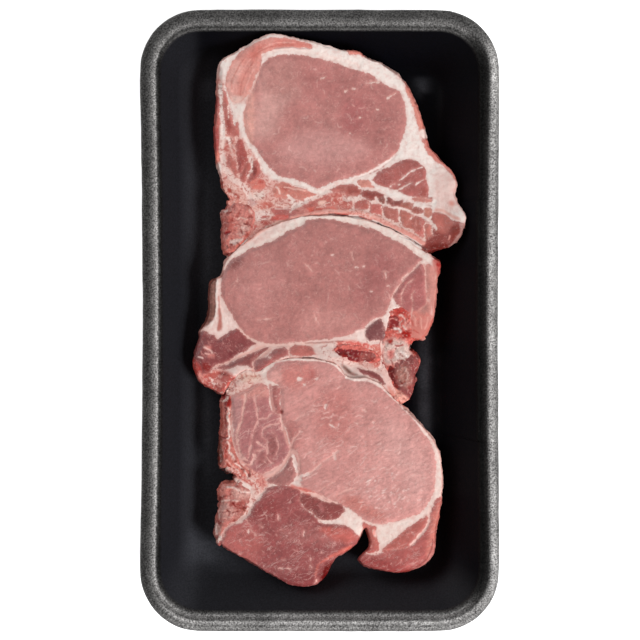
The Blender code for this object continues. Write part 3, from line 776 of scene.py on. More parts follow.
# %% Cutting list of the middle chop
MIDDLE_FAT = (234, 206, 198)
# Painted light in this list: the slits paint the shadow in the gaps to the far and near chops, and the dark
# red line along the upper rim from x 14 to 57 is painted shadow under the far chop's edge. The brown flap on
# the left side is its own translucent tone darkened as painted shade, and the short near-white lines on the
# dark muscle at the lower left are painted glints.
MIDDLE_MARKS = """
mess 212,116,106 1.5 | -64,-26 -56,-25 -48,-25 -43,-29 -46,-34 -50,-38 -58,-34
mess 232,184,174 1.5 | 2,-12 20,-10 34,-10 36,-22 30,-26 14,-22 4,-19
mess 230,160,148 1.5 | 34,-30 37,-30 45,-40 41,-42
fat 241,224,215 1.5 | -51,24 -40,35 -28,40 -18,47 -6,53 8,54 24,50 40,43 54,33 52,29 40,38 26,45 10,49
 -4,49 -16,43 -30,36 -44,30 -49,20
lean 185,126,121 0.5 | -49,22 -47,27 -44,30.5 -40,32.8 -35,35.5 -30,37.3 -25,39.5 -21,41.8 -17,44.5
 -13,46 -9,47.5 -6,50 -2,51 4,50.8 10,49.8 16,48.5 22,47 26,46 30,44.5 34,42.5 38,40.5 42,38 46,35.5
 49,33 51.5,30.5 48,27 45,23.5 42,20.5 40,17 37.5,14 36,11 35,7 33,3 30,1.5 27,0 24,-2 21,-5 16,-7
 10,-8.5 4,-9.5 -2,-10 -8,-10.8 -15,-11.3 -22,-11.5 -28,-11 -32,-10 -36,-8 -39,-5 -42,0 -45,4 -47,7.5
 -48.5,11 -49,15
flush 191,133,128 6 | -42,10 -36,26 -22,32 -16,20 -24,4 -36,0
flush 176,115,112 6 | 22,8 34,16 40,28 30,36 22,26 18,14
flush 150,95,92 2 | -45,27 -41,31.5 -38,31 -40,27.5 -44,25.5
flush 196,138,132 5 | -8,-8 8,-6 18,-2 8,6 -8,4
stain 196,120,112 1.0 | 56.5,30 61,31 62,24 60,16 57,14 57.3,22
lean 176,110,108 0.4 | 49.5,28.5 52,27.3 53.3,22 53.6,14 54,9 50,4 45,3 41,6 38.5,8.5 37,11.5 38.5,14.5
 41,17.5 43,20.5 46,24
lean 204,140,131 0.3 | 53,27 56,27.5 58.3,20 58.6,12 57.5,4 54,1 50,0 47,3 53.5,8 54.2,14 54.1,20
lean 188,96,90 0.2 | 57.5,30.5 61,30.5 62,28 61.5,24.5 59.5,23.8 58.6,27
stain 170,45,45 0.6 | 58.4,27.4 60,27.4 60,28.6 58.4,28.6
fat 216,164,152 0.8 | 57,24 60,20 60,8 57.6,2 57.4,12
stain 208,130,120 1.2 | 45,4.5 51,3.5 57,3 57,-2 51,-10 45.6,-9
line 232,166,154 0.5 | 47,3 47.9,1.4 47.7,-0.6 48.4,-2.6
line 232,168,156 0.5 | 50.6,2 51.2,0.4 50.8,-1.6 51.3,-3.8
line 192,98,90 0.5 | 46.4,0.4 47,-2.6
line 186,92,84 0.6 | 49.2,0.6 49.6,-1.4
line 192,100,92 0.7 | 47,-5 49.6,-6.4
line 230,164,152 0.6 | 54.4,1.6 53.9,-1.2 52.8,-4.2
lean 142,83,83 0.5 | -58.5,-5 -55,-6.8 -52.5,-7 -51.5,-9.3 -47.5,-7 -45,-5.3 -41,-4.7 -38.5,-6.5 -36,-9
 -33,-10.5 -32,-12 -34.5,-13 -38,-15.5 -42,-17.5 -45,-20 -50,-22.5 -53.5,-23.5 -54.5,-25.5 -58,-27
 -62,-29 -65,-26 -66,-20 -64,-14 -62,-8
flush 125,70,72 2 | -46,-16 -40,-15.5 -38,-17.5 -44,-20
flush 200,125,118 0.8 | -58,-12.6 -55,-12.8 -55,-14.6 -58,-14.4
flush 196,122,115 0.8 | -56,-16.5 -53,-17 -53,-19 -56,-18.6
stain 192,82,76 1 | -65,-19 -61.5,-20 -59.5,-26 -63,-27
lean 150,90,88 0.4 | -25,-13 -28,-15.5 -31,-18.5 -33,-20 -33.5,-23.5 -36,-22.5 -41,-23 -46,-24.5
 -50,-24.5 -52.5,-24 -48,-22.5 -44,-21 -40,-19 -36,-17 -31,-15 -27,-13
lean 165,100,97 0.4 | -32.5,-20.5 -31,-19.2 -27.5,-18.5 -24.5,-16 -22,-14 -18,-13.3 -15.8,-14 -15,-16.5
 -16,-17.8 -20,-19 -24,-21.5 -27,-24.5 -30,-25.8 -32.5,-25
lean 190,115,108 0.3 | -14.5,-14 -12,-12.8 -9,-13 -4,-14 -1,-15.5 -0.5,-16.5 -4,-17.3 -9,-17.8 -13,-17
fat 226,180,170 1.2 | -42,-4 -30,-12 -14,-12 8,-11 12,-14 -10,-13 -36,-12
stain 226,200,192 1 | -2,-12 10,-12 10,-19 2,-19.5 -2,-16
stain 225,120,110 1 | 10,-10.6 24,-10.4 32,-11 32,-14 22,-14 10,-14
stain 220,130,118 1.2 | 26,-13 31,-13 31,-23 27,-23 28,-18
lean 135,88,88 0.5 | 22.5,-6 23.5,-4 26,-1.5 29,0.2 31.5,0.8 32.2,-1.5 32.5,-4 34,-6.5 33.5,-9.5 31,-10
 28,-9.8 25.5,-10.3 23.5,-8.5
stain 238,214,206 0.8 | 18,-5.5 22,-4.5 23,-8 24,-10.5 20,-10.5
lean 140,80,80 0.4 | 19,-24 21,-23.5 25,-25 29,-26.5 31.5,-29 33.5,-32 32,-32.5 29,-30 25,-28 21.5,-27.5
stain 120,88,80 1 | 11,-22 13.5,-23 16,-25.5 19,-27.5 17,-28 14.5,-27 12.5,-25
stain 240,200,190 0.9 | 31,-18 33,-18 34.5,-26 37,-31 40,-35 44,-39 42,-40 36,-34 33,-30 31.5,-26
stain 225,145,132 1 | 34,-33 38,-36 44,-40 41,-41.5 36,-38
seam 236,206,198 0.9 | -49.5,22 -49.6,16 -49.4,10 -48,5 -44,0.5 -40.5,-4
fat 238,212,204 1 | -50.5,10 -48,5 -44,0.5 -40,-4 -43,-5.6 -47,-6.5 -51.5,-9.2 -49.8,-4 -49.4,2
line 206,146,136 0.8 | -50.2,12 -50.3,6 -49.8,1
stain 188,122,112 0.6 | -50.4,6 -49.6,6 -48.8,-0.5 -49.4,-4.6 -51.4,-5 -50.8,0
stain 118,80,73 0.5 | -51.4,24 -57,24 -60,8 -60,3 -64,-3 -62,-6.4 -58,-3.6 -55.2,-1.6 -52.8,1.4 -51.8,6
 -51.6,16
stain 142,102,92 0.6 | -53.2,20 -52.2,20 -52.6,10 -53.4,3 -54.6,0 -53.8,4 -53.6,10
stain 158,118,106 0.6 | -56.4,20 -55.4,20 -55.8,10 -56.6,4 -59,-2 -60,-2.6 -58.6,2 -57.4,8
line 242,224,216 0.9 | -50.9,21 -51.2,14 -51.4,8 -51.8,3 -53.4,-1 -55.6,-4
seam 226,180,170 0.6 | -26,-12.5 -30,-13.5 -34,-15.5 -38,-17 -41,-18.5 -45,-20.5 -50,-22.3 -53,-23.3
 -54.5,-25.5
seam 226,180,170 0.8 | -33,-24.5 -33.2,-21 -32,-19.5 -29,-18.7 -27,-16.5 -24.5,-14
seam 226,180,170 0.8 | -14.9,-13.5 -14.8,-17.5
seam 232,196,186 0.9 | -40,-4.5 -37,-7.5 -33,-10.3 -30,-11.5 -26,-12 -20,-12.5 -15,-12.2 -10,-12 -5,-12.5
line 150,92,86 0.5 | -7,-11.5 2,-10.9 12,-10.6
seam 240,218,210 1.6 | 36.5,11 38,8 37,5 34.5,2 32.4,0.4
seam 230,190,180 0.8 | 50,28.5 48,26 45,23.5 42,20.5 40.5,17.5 38,14.5 36.5,11.5
seam 215,165,156 0.5 | 47,20.5 44,18 42,14.5 41,11 40.8,8.5
seam 215,165,156 0.5 | 47.5,15 46.5,12 47,8 46,3
seam 222,172,163 0.7 | 52,27.5 53,24 53.5,19 53.5,14 54.5,11 56,7 56.5,2
seam 240,214,206 0.9 | 22.2,-5.6 23.3,-3.6 26,-1 29,0.8 31.8,1.4
seam 240,214,206 0.8 | 22.6,-6.2 23.4,-9 25.5,-10.9 30,-10.6 33.6,-10.4
line 250,236,228 0.5 | 33,-7 33.1,-8.4
seam 245,210,200 0.8 | 31,-12 32,-16 31.6,-20 31,-23 28,-25 24,-24.6 18,-22.6 12,-20.6 7,-19.6
seam 236,206,198 0.9 | -25.4,-18.5 -24.7,-18.6
seam 236,206,198 0.9 | 6,33 7,33
seam 236,206,198 0.9 | 18,26.5 19,26.5
seam 236,206,198 0.7 | 21.7,27 22.3,27
seam 236,206,198 0.8 | 34,17 35,17
seam 236,206,198 0.8 | 25.5,14.5 26.5,14.5
seam 226,186,178 0.6 | 33,24 33.6,20
seam 216,168,160 0.5 | 16,34 17,30
seam 216,168,160 0.6 | -8,29 -4,25
seam 216,168,160 0.6 | -31,0.5 -24,1
seam 216,168,160 0.5 | -3,3 -1,-1
seam 216,168,160 0.5 | -41,22 -41.5,20
slit 150,92,84 0.6 | -20.5,49.8 -16,51.2
line 240,186,174 1.4 | -46,33.5 -38,38.6 -29,45 -21,49.3 -11,52.6 -3,53.6 6,53.6 14,52.9
line 150,62,54 0.9 | 14,53 24,50.9 30,49 38,45.6 46,41.6 52,37.8 57,34.2
stain 190,98,92 1 | -60,-31 -57,-27 -53,-27 -50,-26 -46,-27 -43,-29 -46,-32 -48,-37 -51,-38 -53,-34
 -56,-33.5
stain 140,64,62 0.8 | -58.4,-21.6 -55.4,-22 -54.8,-25 -57,-26.6 -58.6,-25
stain 160,76,72 0.7 | -50,-25.4 -46,-26 -46,-27.4 -50.4,-27
stain 232,150,140 0.7 | -60.6,-25.6 -58.4,-28.6 -56.8,-30.6 -58.2,-31.6 -61,-28
line 248,214,204 0.8 | -56.4,-28.6 -54.4,-29.6 -53.4,-31.6
line 246,206,196 0.7 | -60.6,-18.4 -58.6,-19
line 244,196,186 0.7 | -58.2,-13.4 -55.4,-14.6 -54.2,-16
line 240,184,174 0.6 | -57.6,-16.4 -55.6,-17
stain 230,160,150 0.7 | -52.4,-29.4 -49.4,-30.4 -48.4,-33.4 -51,-33
stain 200,80,75 0.7 | -58,-28.4 -56,-28 -56,-29.8 -58,-30
line 246,205,196 1 | -52.6,-32 -51.4,-31.8
line 246,205,196 1 | -50.6,-28 -49.4,-28
line 120,55,50 0.6 | -49.5,-26.6 -46,-27.4
slit 30,15,15 0.9 | -8,-18.6 -4,-18.9 0,-19.4
"""
print("marks on the middle chop:", len(rows_of(MIDDLE_MARKS)))

# %% [markdown]
# ### The near chop
# The biggest slice has a wide pale eye with long fibres, a dark coarse muscle across its
# tip, an oval of folded muscles beside the backbone and a small lobe on the right.

# %% Cutting list of the near chop
NEAR_FAT = (239, 216, 207)
# Painted light in this list: on the big dark muscle the salmon band along its lower right edge is a painted
# highlight and the dark red beyond it is painted shade where its side slopes away; the lobe darkens towards
# its lower edge as painted shade; the pit in the crevice near x 23, y -109 and the hollow beside the
# backbone are painted shadow.
NEAR_MARKS = """
mess 232,190,180 1.2 | -40,-72 -33,-76 -28,-79 -25,-83 -29,-88 -34,-93 -38,-98 -46,-102 -44,-98 -36,-90
 -34,-84
mess 236,200,190 1.5 | -46,-32 -40,-26.5 -31,-26 -28,-32 -36,-37 -44,-38
lean 208,148,142 0.5 | -18,-19.8 -10,-19.6 -4,-20.2 2,-20.6 8,-22 11,-25 14,-28.2 20,-29 26,-30.6 30,-33
 36,-38.4 42,-44.4 48,-50.6 53,-56.4 56.4,-62 58.2,-69 58.5,-76 57.8,-83 56,-89 53,-94.4 48,-97.8
 41,-100 34,-102 28,-102.2 23,-100.4 19,-97.6 15,-94.6 10,-92.4 5,-90.2 0,-88 -6,-86 -10,-80 -11,-72
 -13,-66 -15,-60 -17.5,-53 -19,-47 -19.5,-41 -20,-34 -22,-32 -25,-30 -26,-27 -23,-22.6
flush 216,162,156 8 | 36,-48 50,-62 56,-76 50,-92 38,-84 30,-64
flush 198,132,126 5 | 2,-36 14,-36 16,-54 10,-62 0,-58 -2,-44
flush 205,133,126 4 | -18,-22 -6,-22 -2,-30 -12,-34 -20,-30
flush 184,112,107 2 | -5,-25 -3,-25 -3,-30 -5,-30
flush 200,130,122 3 | 10,-91 18,-88 30,-94 32,-101 20,-97
flush 190,125,120 4 | -16,-50 -10,-54 -12,-66 -17,-60
flush 225,165,157 1.4 | -26,-26 -20,-25.4 -19.6,-31 -25,-31
flush 214,156,150 4 | 20,-78 34,-70 44,-84 34,-94 22,-90
lean 178,118,117 0.5 | -44.4,-38 -44.1,-43.5 -44.1,-48.5 -43.2,-53.5 -42.6,-58.5 -42.4,-62.2 -41.3,-66
 -40,-69 -37.9,-71.6 -35.4,-73.8 -32.9,-75.6 -30.4,-76.8 -27.9,-76.5 -24.7,-75 -21,-72.9 -18.5,-70.6
 -16,-67.4 -15,-64.5 -15.2,-62 -16.2,-59 -16.6,-56.4 -18,-54.6 -18.8,-52.2 -19.4,-48.5 -22,-46.4
 -24.5,-44 -25.4,-38 -26.4,-33 -29,-31.4 -33,-31.8 -36,-33.6 -40,-35.8
flush 205,142,134 2 | -44,-36 -34,-31 -27,-32 -26,-38 -34,-39 -44,-40
flush 188,136,133 1.4 | -45,-40 -38.6,-40 -40,-52 -42,-62 -44,-58
flush 164,105,103 1.5 | -25.6,-60 -21.6,-58 -20.8,-66 -23,-72 -26,-68
flush 168,108,106 1.5 | -31,-70 -27,-66 -24,-71 -28,-75.4
lean 172,110,106 0.4 | -24.7,-33.2 -22.2,-32.8 -20,-33.5 -19.7,-36.6 -19.5,-41 -19.1,-44.1 -17.9,-46
 -18.6,-47.6 -21,-47.4 -22.9,-46 -23.2,-42.9 -24.6,-39.7 -25.2,-36.6
pit 115,40,40 0.4 | -19.2,-45 -18.2,-45.2 -18.4,-47 -19.4,-47.4
lean 170,116,112 0.4 | -24.4,-78.6 -21,-77 -17.9,-73.8 -16,-70.8 -14.1,-68.4 -12.9,-69.8 -12.7,-73.5
 -11.6,-76 -12.2,-79.1 -14.1,-81.6 -18.5,-82.8 -22.9,-82.4 -25.4,-81.5 -26.6,-80.5
lean 160,94,93 0.5 | -27.1,-84.8 -24.9,-83.4 -19.9,-82.6 -14.9,-83.1 -10,-85 -9,-88 -9.9,-90.1
 -7.7,-93.4 -4.3,-96.4 -0.4,-99.6 0,-101 5.6,-102.4 10,-102.6 14.4,-104 17.2,-106 19.4,-108 21,-110.6
 17,-114 12,-118 10,-122.6 6,-128 4,-136 -8,-139 -24,-134 -40,-124 -52,-116 -49.6,-110 -48.2,-106.8
 -47.1,-104.3 -44.9,-102.1 -42.1,-100.9 -39.3,-99.2 -36.8,-97.5 -34.9,-94.8 -32.7,-91 -29.9,-87.5
flush 180,106,102 4 | -52,-113 -47,-105 -36,-103 -28,-112 -36,-124 -48,-117
flush 150,82,82 3 | -22,-130 -6,-126 0,-132 -8,-136 -24,-134
flush 150,84,83 3 | -34,-94 -22,-90 -20,-98 -30,-100 -37,-98
flush 175,110,107 3 | -18,-104 4,-106 10,-112 -4,-112 -18,-110
flush 196,110,103 1.5 | 0,-104 14,-105 19,-109 14,-112 4,-108
stain 205,112,102 0.8 | -2,-129 0,-123 5,-119.6 10,-117.4 16,-114.6 16,-112.6 9,-116 3,-119.6 -1.6,-124
stain 118,46,43 1.4 | 2.5,-123.6 8,-119.4 15,-116 20,-113.6 20,-120 12,-128 4,-136 0,-130
lean 148,86,84 0.3 | -9.3,-87.3 -6,-87 -2.7,-88.6 0.7,-90.3 4,-91.3 8.9,-91.5 10.8,-92.6 12.6,-95
 10.8,-97.4 9.4,-99 7.2,-99.9 3.3,-99.8 0,-99 -4,-96 -7.5,-93 -9.7,-90
flush 175,110,108 0.9 | 0.4,-91.8 1.8,-91.8 2,-96 0.2,-96
stain 215,110,100 0.9 | -14.6,-82.4 -10.4,-83 -6,-84.5 -2.5,-86.5 -3.4,-87.4 -7,-86.3 -11,-84.4
 -14.6,-83.6
fat 222,172,162 1 | -14,-84 -2,-87 8,-90 8,-92 -2,-89 -12,-86
fat 244,222,213 1 | 11.1,-96.9 15,-94.9 20.6,-98.6 23.3,-100.8 22.2,-106.3 21.4,-108.8 17.2,-105.8
 10,-102.4 0,-101 0,-99 7,-100
lean 192,112,104 0.3 | 22.2,-101.6 26,-103 28.6,-104.2 28.4,-108 29.6,-112 29.4,-115 27.6,-116
 25.4,-112.4 23.6,-107 22,-103.8
stain 232,190,180 0.5 | 27,-105 28.6,-105.4 28.8,-108.6 27.4,-108.4
line 230,150,140 0.9 | 27.9,-105.4 27.6,-107.4
lean 190,112,105 0.3 | 32,-114.6 38,-109.6 44,-105.2 50,-100.6 53.6,-98.2 54.4,-99.4 53.4,-102.6
 51.6,-105.4 49,-108.6 46.5,-111.4 43.4,-113.8 37,-115.2 31.6,-115.9
lean 182,104,100 0.3 | 61.5,-89 60.8,-93 61,-97 60.4,-100 59.8,-103 58.9,-107 58.6,-110.5 58.6,-114.5
 57.2,-119 54.6,-122.4 50,-125.4 44.4,-127 38.9,-128 31,-126.4 25,-125.6 21,-124 17,-121 17.6,-117
 21.7,-116.4 24.4,-117.2 27.8,-117.8 31,-117 36,-116 41,-115.2 46,-112.8 50,-110 53.6,-106 55.6,-101.6
 56.6,-96.4 58.4,-90.6
flush 206,127,117 1.5 | 57,-97 61,-90 61,-100 58.4,-110 58,-120 54,-122 54.6,-108
flush 160,84,82 2 | 20,-120 30,-120 42,-124 40,-129 26,-127 16,-124
stain 138,56,52 1.6 | 24,-125 32,-126 40,-126.4 47,-125 44,-131 30,-132 22,-129
lean 190,100,95 0.3 | 21.7,-115.2 23.9,-112.8 25.6,-113.8 27.8,-115.9 26.6,-117 24.2,-116.6
seam 240,205,196 0.6 | 23.9,-116.8 27.8,-117.7 30.3,-116.7
line 150,84,80 0.6 | 33,-116 37.8,-115.6 41.4,-114.8 44,-113
pit 60,15,15 1.6 | 22.6,-104.4 24.3,-108 25.6,-111.8 24,-113 22,-114.4 20,-112.4 21.6,-108.8
seam 238,204,194 1.0 | 55.9,-93.6 55.6,-98 54.7,-101.3 52.8,-105.2 50.4,-107.6 47.8,-110.6 45.6,-112.2
line 238,192,182 0.9 | 62,-88 62,-95 61.2,-102 60.2,-109 59,-115
seam 238,200,190 0.4 | 54.6,-101.8 53.4,-104.4 50.8,-108 48,-111.4 45.4,-113.4
stain 205,140,134 1.2 | 58,-112 60,-112 58,-119 54.5,-123.4 48,-126.4 46.5,-125.6 53,-121 56.4,-116
line 150,80,76 0.6 | 57.2,-110 56.4,-115 53.6,-120 49,-123.6
seam 242,214,204 0.9 | 22.6,-100.6 25.6,-101.9 29,-103
seam 240,196,186 1.0 | -6,-86.2 0,-88 5,-89.8 9,-91.4
seam 242,222,214 1.0 | 0,-100.2 5.6,-101 9,-100.4
fat 232,186,176 2 | -46.5,-33 -40,-30 -32,-31 -28,-33 -34,-36 -44,-37.4
fat 232,192,176 1.2 | -40,-27 -31,-27 -30,-30 -39,-30.4
line 204,144,136 1.5 | -45.2,-38 -44.7,-48 -43.6,-58 -41.4,-66 -38,-72.4
line 204,148,141 1.5 | -24.8,-32.4 -24.4,-38 -23,-45.2
line 206,150,142 1.3 | -19.2,-50 -17.6,-56 -15.3,-62.6
seam 225,175,165 1.0 | -37.2,-36.9 -37.4,-41 -37.9,-44.1 -38.8,-47.9 -39.6,-51.6 -40.7,-55.4 -41.3,-59.1
 -40.7,-62.9 -39.8,-66.6 -38.2,-69.1 -36.3,-70.2
seam 216,162,156 0.8 | -32.6,-37 -32,-41 -31.3,-44.7 -31,-47.9 -30.7,-50 -31.9,-53.5 -33.2,-56.6
 -33.5,-59.1 -34.4,-61 -34.7,-63.5 -35.4,-66 -35.9,-68.8
seam 216,162,156 0.7 | -30.4,-49.4 -28.5,-49.1 -26,-49.1 -25.1,-47.9 -23.5,-46.6
seam 216,162,156 0.7 | -20.4,-51.9 -22.9,-52.2 -25.4,-52.9 -27.6,-54.1 -28.4,-56 -28.2,-58.5 -26.9,-60.1
 -26,-61.6 -26,-64.1 -25.7,-66.6
seam 212,158,152 0.5 | -23.5,-56 -21.9,-57.6 -20.7,-59.7 -20.2,-62.2 -20.4,-64.7 -21.3,-67.2
seam 228,184,175 1.1 | -19.4,-47.9 -19.1,-51 -18.5,-54.7
seam 222,170,162 0.6 | -31,-61.3 -29.1,-62.9 -26.9,-64.1
seam 220,168,160 0.6 | -32.6,-65.8 -29.1,-65.7 -26.8,-64.5
seam 214,160,154 0.5 | -31.9,-67.2 -32.2,-69.1 -33.4,-71
seam 214,160,154 0.6 | -27.9,-70.4 -26.3,-71.9
seam 214,160,154 0.6 | -26.6,-67.9 -24.7,-70.4 -23.2,-71.6
seam 226,178,170 1.3 | -40.4,-68.5 -37.9,-71.3 -34.7,-72.6 -33.5,-70.4 -32.9,-67.6
seam 225,175,166 1.0 | -28.2,-79.1 -24.7,-77.9 -21.6,-76 -19.1,-73.5 -16.9,-70.4 -15.4,-67.9 -13.8,-66
 -12.2,-66 -10.7,-67.9 -10.1,-71 -10.1,-74.7 -11,-77.9
seam 222,172,164 0.8 | -33,-76 -29,-77.4 -26.6,-76.6 -23.5,-75 -21,-73
seam 242,220,212 1.1 | -12.9,-70.4 -11.9,-72.2 -11.6,-75.4
seam 240,216,208 2.6 | -11.6,-80 -9.4,-79.6
seam 240,216,208 1.5 | -10,-78.6 -7,-77.4 -4,-76
seam 226,178,170 0.9 | -4,-76 0,-72.6 4,-69.4 9,-65.6
seam 218,166,158 0.7 | -14.4,-65 -13.6,-62 -13,-59.7 -11,-57.4 -9.6,-55
seam 222,172,164 0.7 | -12.2,-50 -9.7,-48.8 -6.9,-47.6
seam 216,164,156 0.6 | 0,-85.2 4,-83 8.3,-80.8
seam 218,166,158 0.6 | 8.3,-88.6 12.8,-85.8 17.2,-84.9
seam 240,218,210 1.5 | -10.6,-29.4 -9,-29.5
seam 236,206,198 0.9 | -2.6,-29.4 -1.8,-29.4
seam 236,206,198 0.7 | -8,-32.2 -7.2,-32.3
seam 238,210,202 1.0 | 3.1,-42 3,-44
seam 230,190,182 0.7 | -3.4,-45.4 -2.2,-45.6
seam 236,204,196 0.8 | 5,-52.4 6.4,-52.8 8.3,-54.3
seam 232,194,186 1.7 | 7,-67 7.4,-69.4
seam 228,184,176 0.7 | 22,-45 23.4,-45.8
seam 230,186,178 0.8 | 26.8,-51.6 27.7,-51.6
seam 228,184,176 0.7 | 17.4,-50.8 18.8,-51.6
seam 236,204,196 0.9 | -35.6,-105.2 -35.8,-106.4
seam 205,150,144 0.5 | -34.6,-105.1 -31.6,-107.9
seam 200,142,136 0.5 | -36.3,-100.1 -34.9,-103.4
seam 200,142,136 0.5 | -29.9,-102.3 -28.2,-104
seam 232,190,182 0.8 | -7.6,-105.8 -7.8,-108
seam 226,180,172 1.0 | -20,-124 -18.6,-124.2
seam 220,170,163 0.7 | -18.6,-120.4 -17.8,-120.4
seam 226,180,172 0.7 | -15.6,-124 -14.6,-124.6
seam 216,164,158 0.6 | -4.6,-123 -3.8,-124
seam 216,164,158 0.6 | -4.6,-119.6 -4.6,-120.6
seam 240,190,180 0.8 | -1.4,-130.4 -1.2,-131.4
seam 212,158,152 0.6 | -20.4,-97.6 -20.4,-100
seam 242,214,205 1.4 | -27.4,-84.9 -29.9,-87.8 -32.1,-90.4 -33.8,-93 -35.4,-96.2
seam 240,208,198 1.6 | -35.4,-96.2 -37.7,-99 -39.9,-101 -42.7,-101.7
seam 232,180,170 0.9 | -42.7,-101.7 -45.4,-103.2 -47.7,-105.9 -48.1,-108.4
line 248,228,219 1.0 | -24,-21.6 -18,-19.6 -10,-19.2 -2,-19.6 6,-21.4 10.5,-24.6 13.5,-28
line 248,228,219 1.3 | 13.5,-28.4 18,-29.6 24,-29.8 30,-32.8 36.4,-38 43,-44.8 49,-51.2 54,-56.8
mess 222,150,140 1 | -45,-72 -38,-70 -31,-76 -26,-81 -29,-86 -36,-82 -42,-79 -46,-77
line 238,206,196 0.8 | -41,-74 -37,-78 -33,-81 -30,-85
line 190,84,76 0.7 | -43,-76 -38,-80 -34,-83
"""
# The notch beside the backbone: a sunken hollow painted near black as painted shadow; the near chop and both
# its bones share it.
HOLLOW = "pit 66,38,34 1.4 | -52,-74.4 -46,-75 -43,-78.4 -43.4,-80.4 -47,-79.8 -52,-79\n"
NEAR_MARKS += HOLLOW
print("marks on the near chop:", len(rows_of(NEAR_MARKS)))

# %% [markdown]
# ### Fine flecks of fat, and painted glints
# Cut muscle is sprinkled with short pale threads, and its wet surface with tiny glints, painted
# here as bright dashes. Nobody draws hundreds of them by hand, so a seeded draw adds them to the cutting
# lists as extra rows, each in an oval part of a muscle.

# %% Draw the flecks
def flecks(seed, count, oval, run, length, dim, bright):
    """Rows for short curved threads. An oval is x, y and two half sizes; a run is a turn and its swing."""
    draw = np.random.default_rng(seed)
    dim, bright = np.array(dim), np.array(bright)
    rows = []
    for _ in range(count):
        angle, out = draw.uniform(0, 2 * math.pi), math.sqrt(draw.uniform(0, 1))
        right, up = oval[2] * out * math.cos(angle), oval[3] * out * math.sin(angle)
        centre = np.array((oval[0] + right, oval[1] + up))
        turn = math.radians(run[0] + draw.uniform(-run[1], run[1]))
        reach = length * draw.uniform(0.4, 1.0) ** 2
        ahead = np.array((math.cos(turn), math.sin(turn))) * reach / 2
        bow = np.array((-ahead[1], ahead[0])) * draw.uniform(-0.5, 0.5)
        thread = " ".join(f"{x:.1f},{y:.1f}" for x, y in (centre - ahead, centre + bow, centre + ahead))
        colour = ",".join(str(round(c)) for c in dim + (bright - dim) * draw.uniform(0, 1))
        rows.append(f"line {colour} {draw.uniform(0.2, 0.45):.2f} | {thread}")
    return "\n".join(rows) + "\n"


FAR_MARKS += flecks(1, 60, (4, 100, 37, 28), (0, 90), 4, (198, 142, 136), (224, 182, 174))
MIDDLE_MARKS += flecks(2, 50, (-2, 19, 43, 25), (0, 90), 4, (192, 136, 130), (216, 172, 164))
MIDDLE_MARKS += flecks(3, 14, (-50, -14, 10, 6), (-20, 50), 3, (160, 100, 98), (212, 150, 142))
NEAR_MARKS += flecks(4, 110, (20, -62, 32, 34), (28, 30), 5, (212, 158, 152), (238, 198, 190))
# The second set on the near eye is painted glints: near-white dashes that stand for wet highlights, not fat.
NEAR_MARKS += flecks(5, 60, (36, -86, 16, 10), (28, 25), 2, (224, 174, 168), (253, 226, 218))
NEAR_MARKS += flecks(6, 60, (-14, -108, 26, 14), (-35, 60), 4, (174, 110, 106), (212, 156, 148))
NEAR_MARKS += flecks(7, 20, (44, -118, 12, 6), (30, 60), 2.5, (192, 122, 116), (218, 160, 152))
print("rows on the near chop:", len(rows_of(NEAR_MARKS)))

# %% [markdown]
# ### Carving and painting the three slices
# The fine copy is relaxed so that no facet shows, lifted and lowered by the marks, and given
# small random hills. Below the top the pattern simply runs on, as it does in real meat,
# because fibres, fat and seams pass straight through a slice.

# %% A fine skin for a piece of meat
MEAT_CELL = 0.46
MEAT_TOP_ROUNDS = 40
BONE_CELL = 0.4
BONE_TOP_ROUNDS = 4
UNDERSIDE_SHARE = 0.6
FACES_UP = 0.86
FACES_DOWN = -0.8
LEVEL_ENOUGH = 0.97


def apply_to(piece, chosen, kind, **settings):
    """Applies a modifier to the chosen points of a piece only."""
    group = piece.vertex_groups.new(name="chosen")
    group.add([int(number) for number in np.flatnonzero(chosen)], 1.0, "REPLACE")
    apply(piece, kind, vertex_group="chosen", **settings)
    piece.vertex_groups.clear()


def fine_skin(piece, cell, top_rounds):
    """Turns a solid into even cells and relaxes it; its top is relaxed for more rounds."""
    apply(piece, "REMESH", mode="VOXEL", voxel_size=cell * MM, adaptivity=0.0)
    apply(piece, "SMOOTH", factor=0.5, iterations=3)
    apply_to(piece, normals_of(piece)[:, 2] > FACES_UP, "SMOOTH", factor=0.5, iterations=top_rounds)


def thin_underside(piece, share):
    """Keeps only this share of the cells under a piece, where nothing is seen."""
    apply_to(piece, normals_of(piece)[:, 2] < FACES_DOWN, "DECIMATE", ratio=share)


print("cells of meat and bone in mm:", MEAT_CELL, BONE_CELL)


# %% [markdown]
# ### Where slices meet
# The solids have rounded rims, but a fresh slice is sharp at its edge, and where two slices lie
# together one rides up on the other. So each rim is levelled with its own cut face, the rims
# that meet are lifted or lowered a little, and the middle slice's upper rim is drawn outwards.

# %% How far it is to a neighbour
def gaps_to(node, points, asked, reach):
    """How far the asked points are from a solid in mm; endless where that is more than reach."""
    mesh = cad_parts[node].data
    corners = [vertex.co / MM for vertex in mesh.vertices]
    tree = BVHTree.FromPolygons(corners, [tuple(face.vertices) for face in mesh.polygons])
    gaps = np.full(len(points), np.inf)
    for number in np.flatnonzero(asked):
        found = tree.find_nearest(points[number], reach)[3]
        if found is not None:
            gaps[number] = found
    return gaps


corner = np.array([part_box("chop_far")[0]]) / MM
gap = gaps_to("chop_middle", corner, [True], 50)[0]
print("from the low corner of the far chop's box to the middle chop in mm:", round(gap, 1))


# %% Level the rim of a slice
RIM_REACH = 4.0


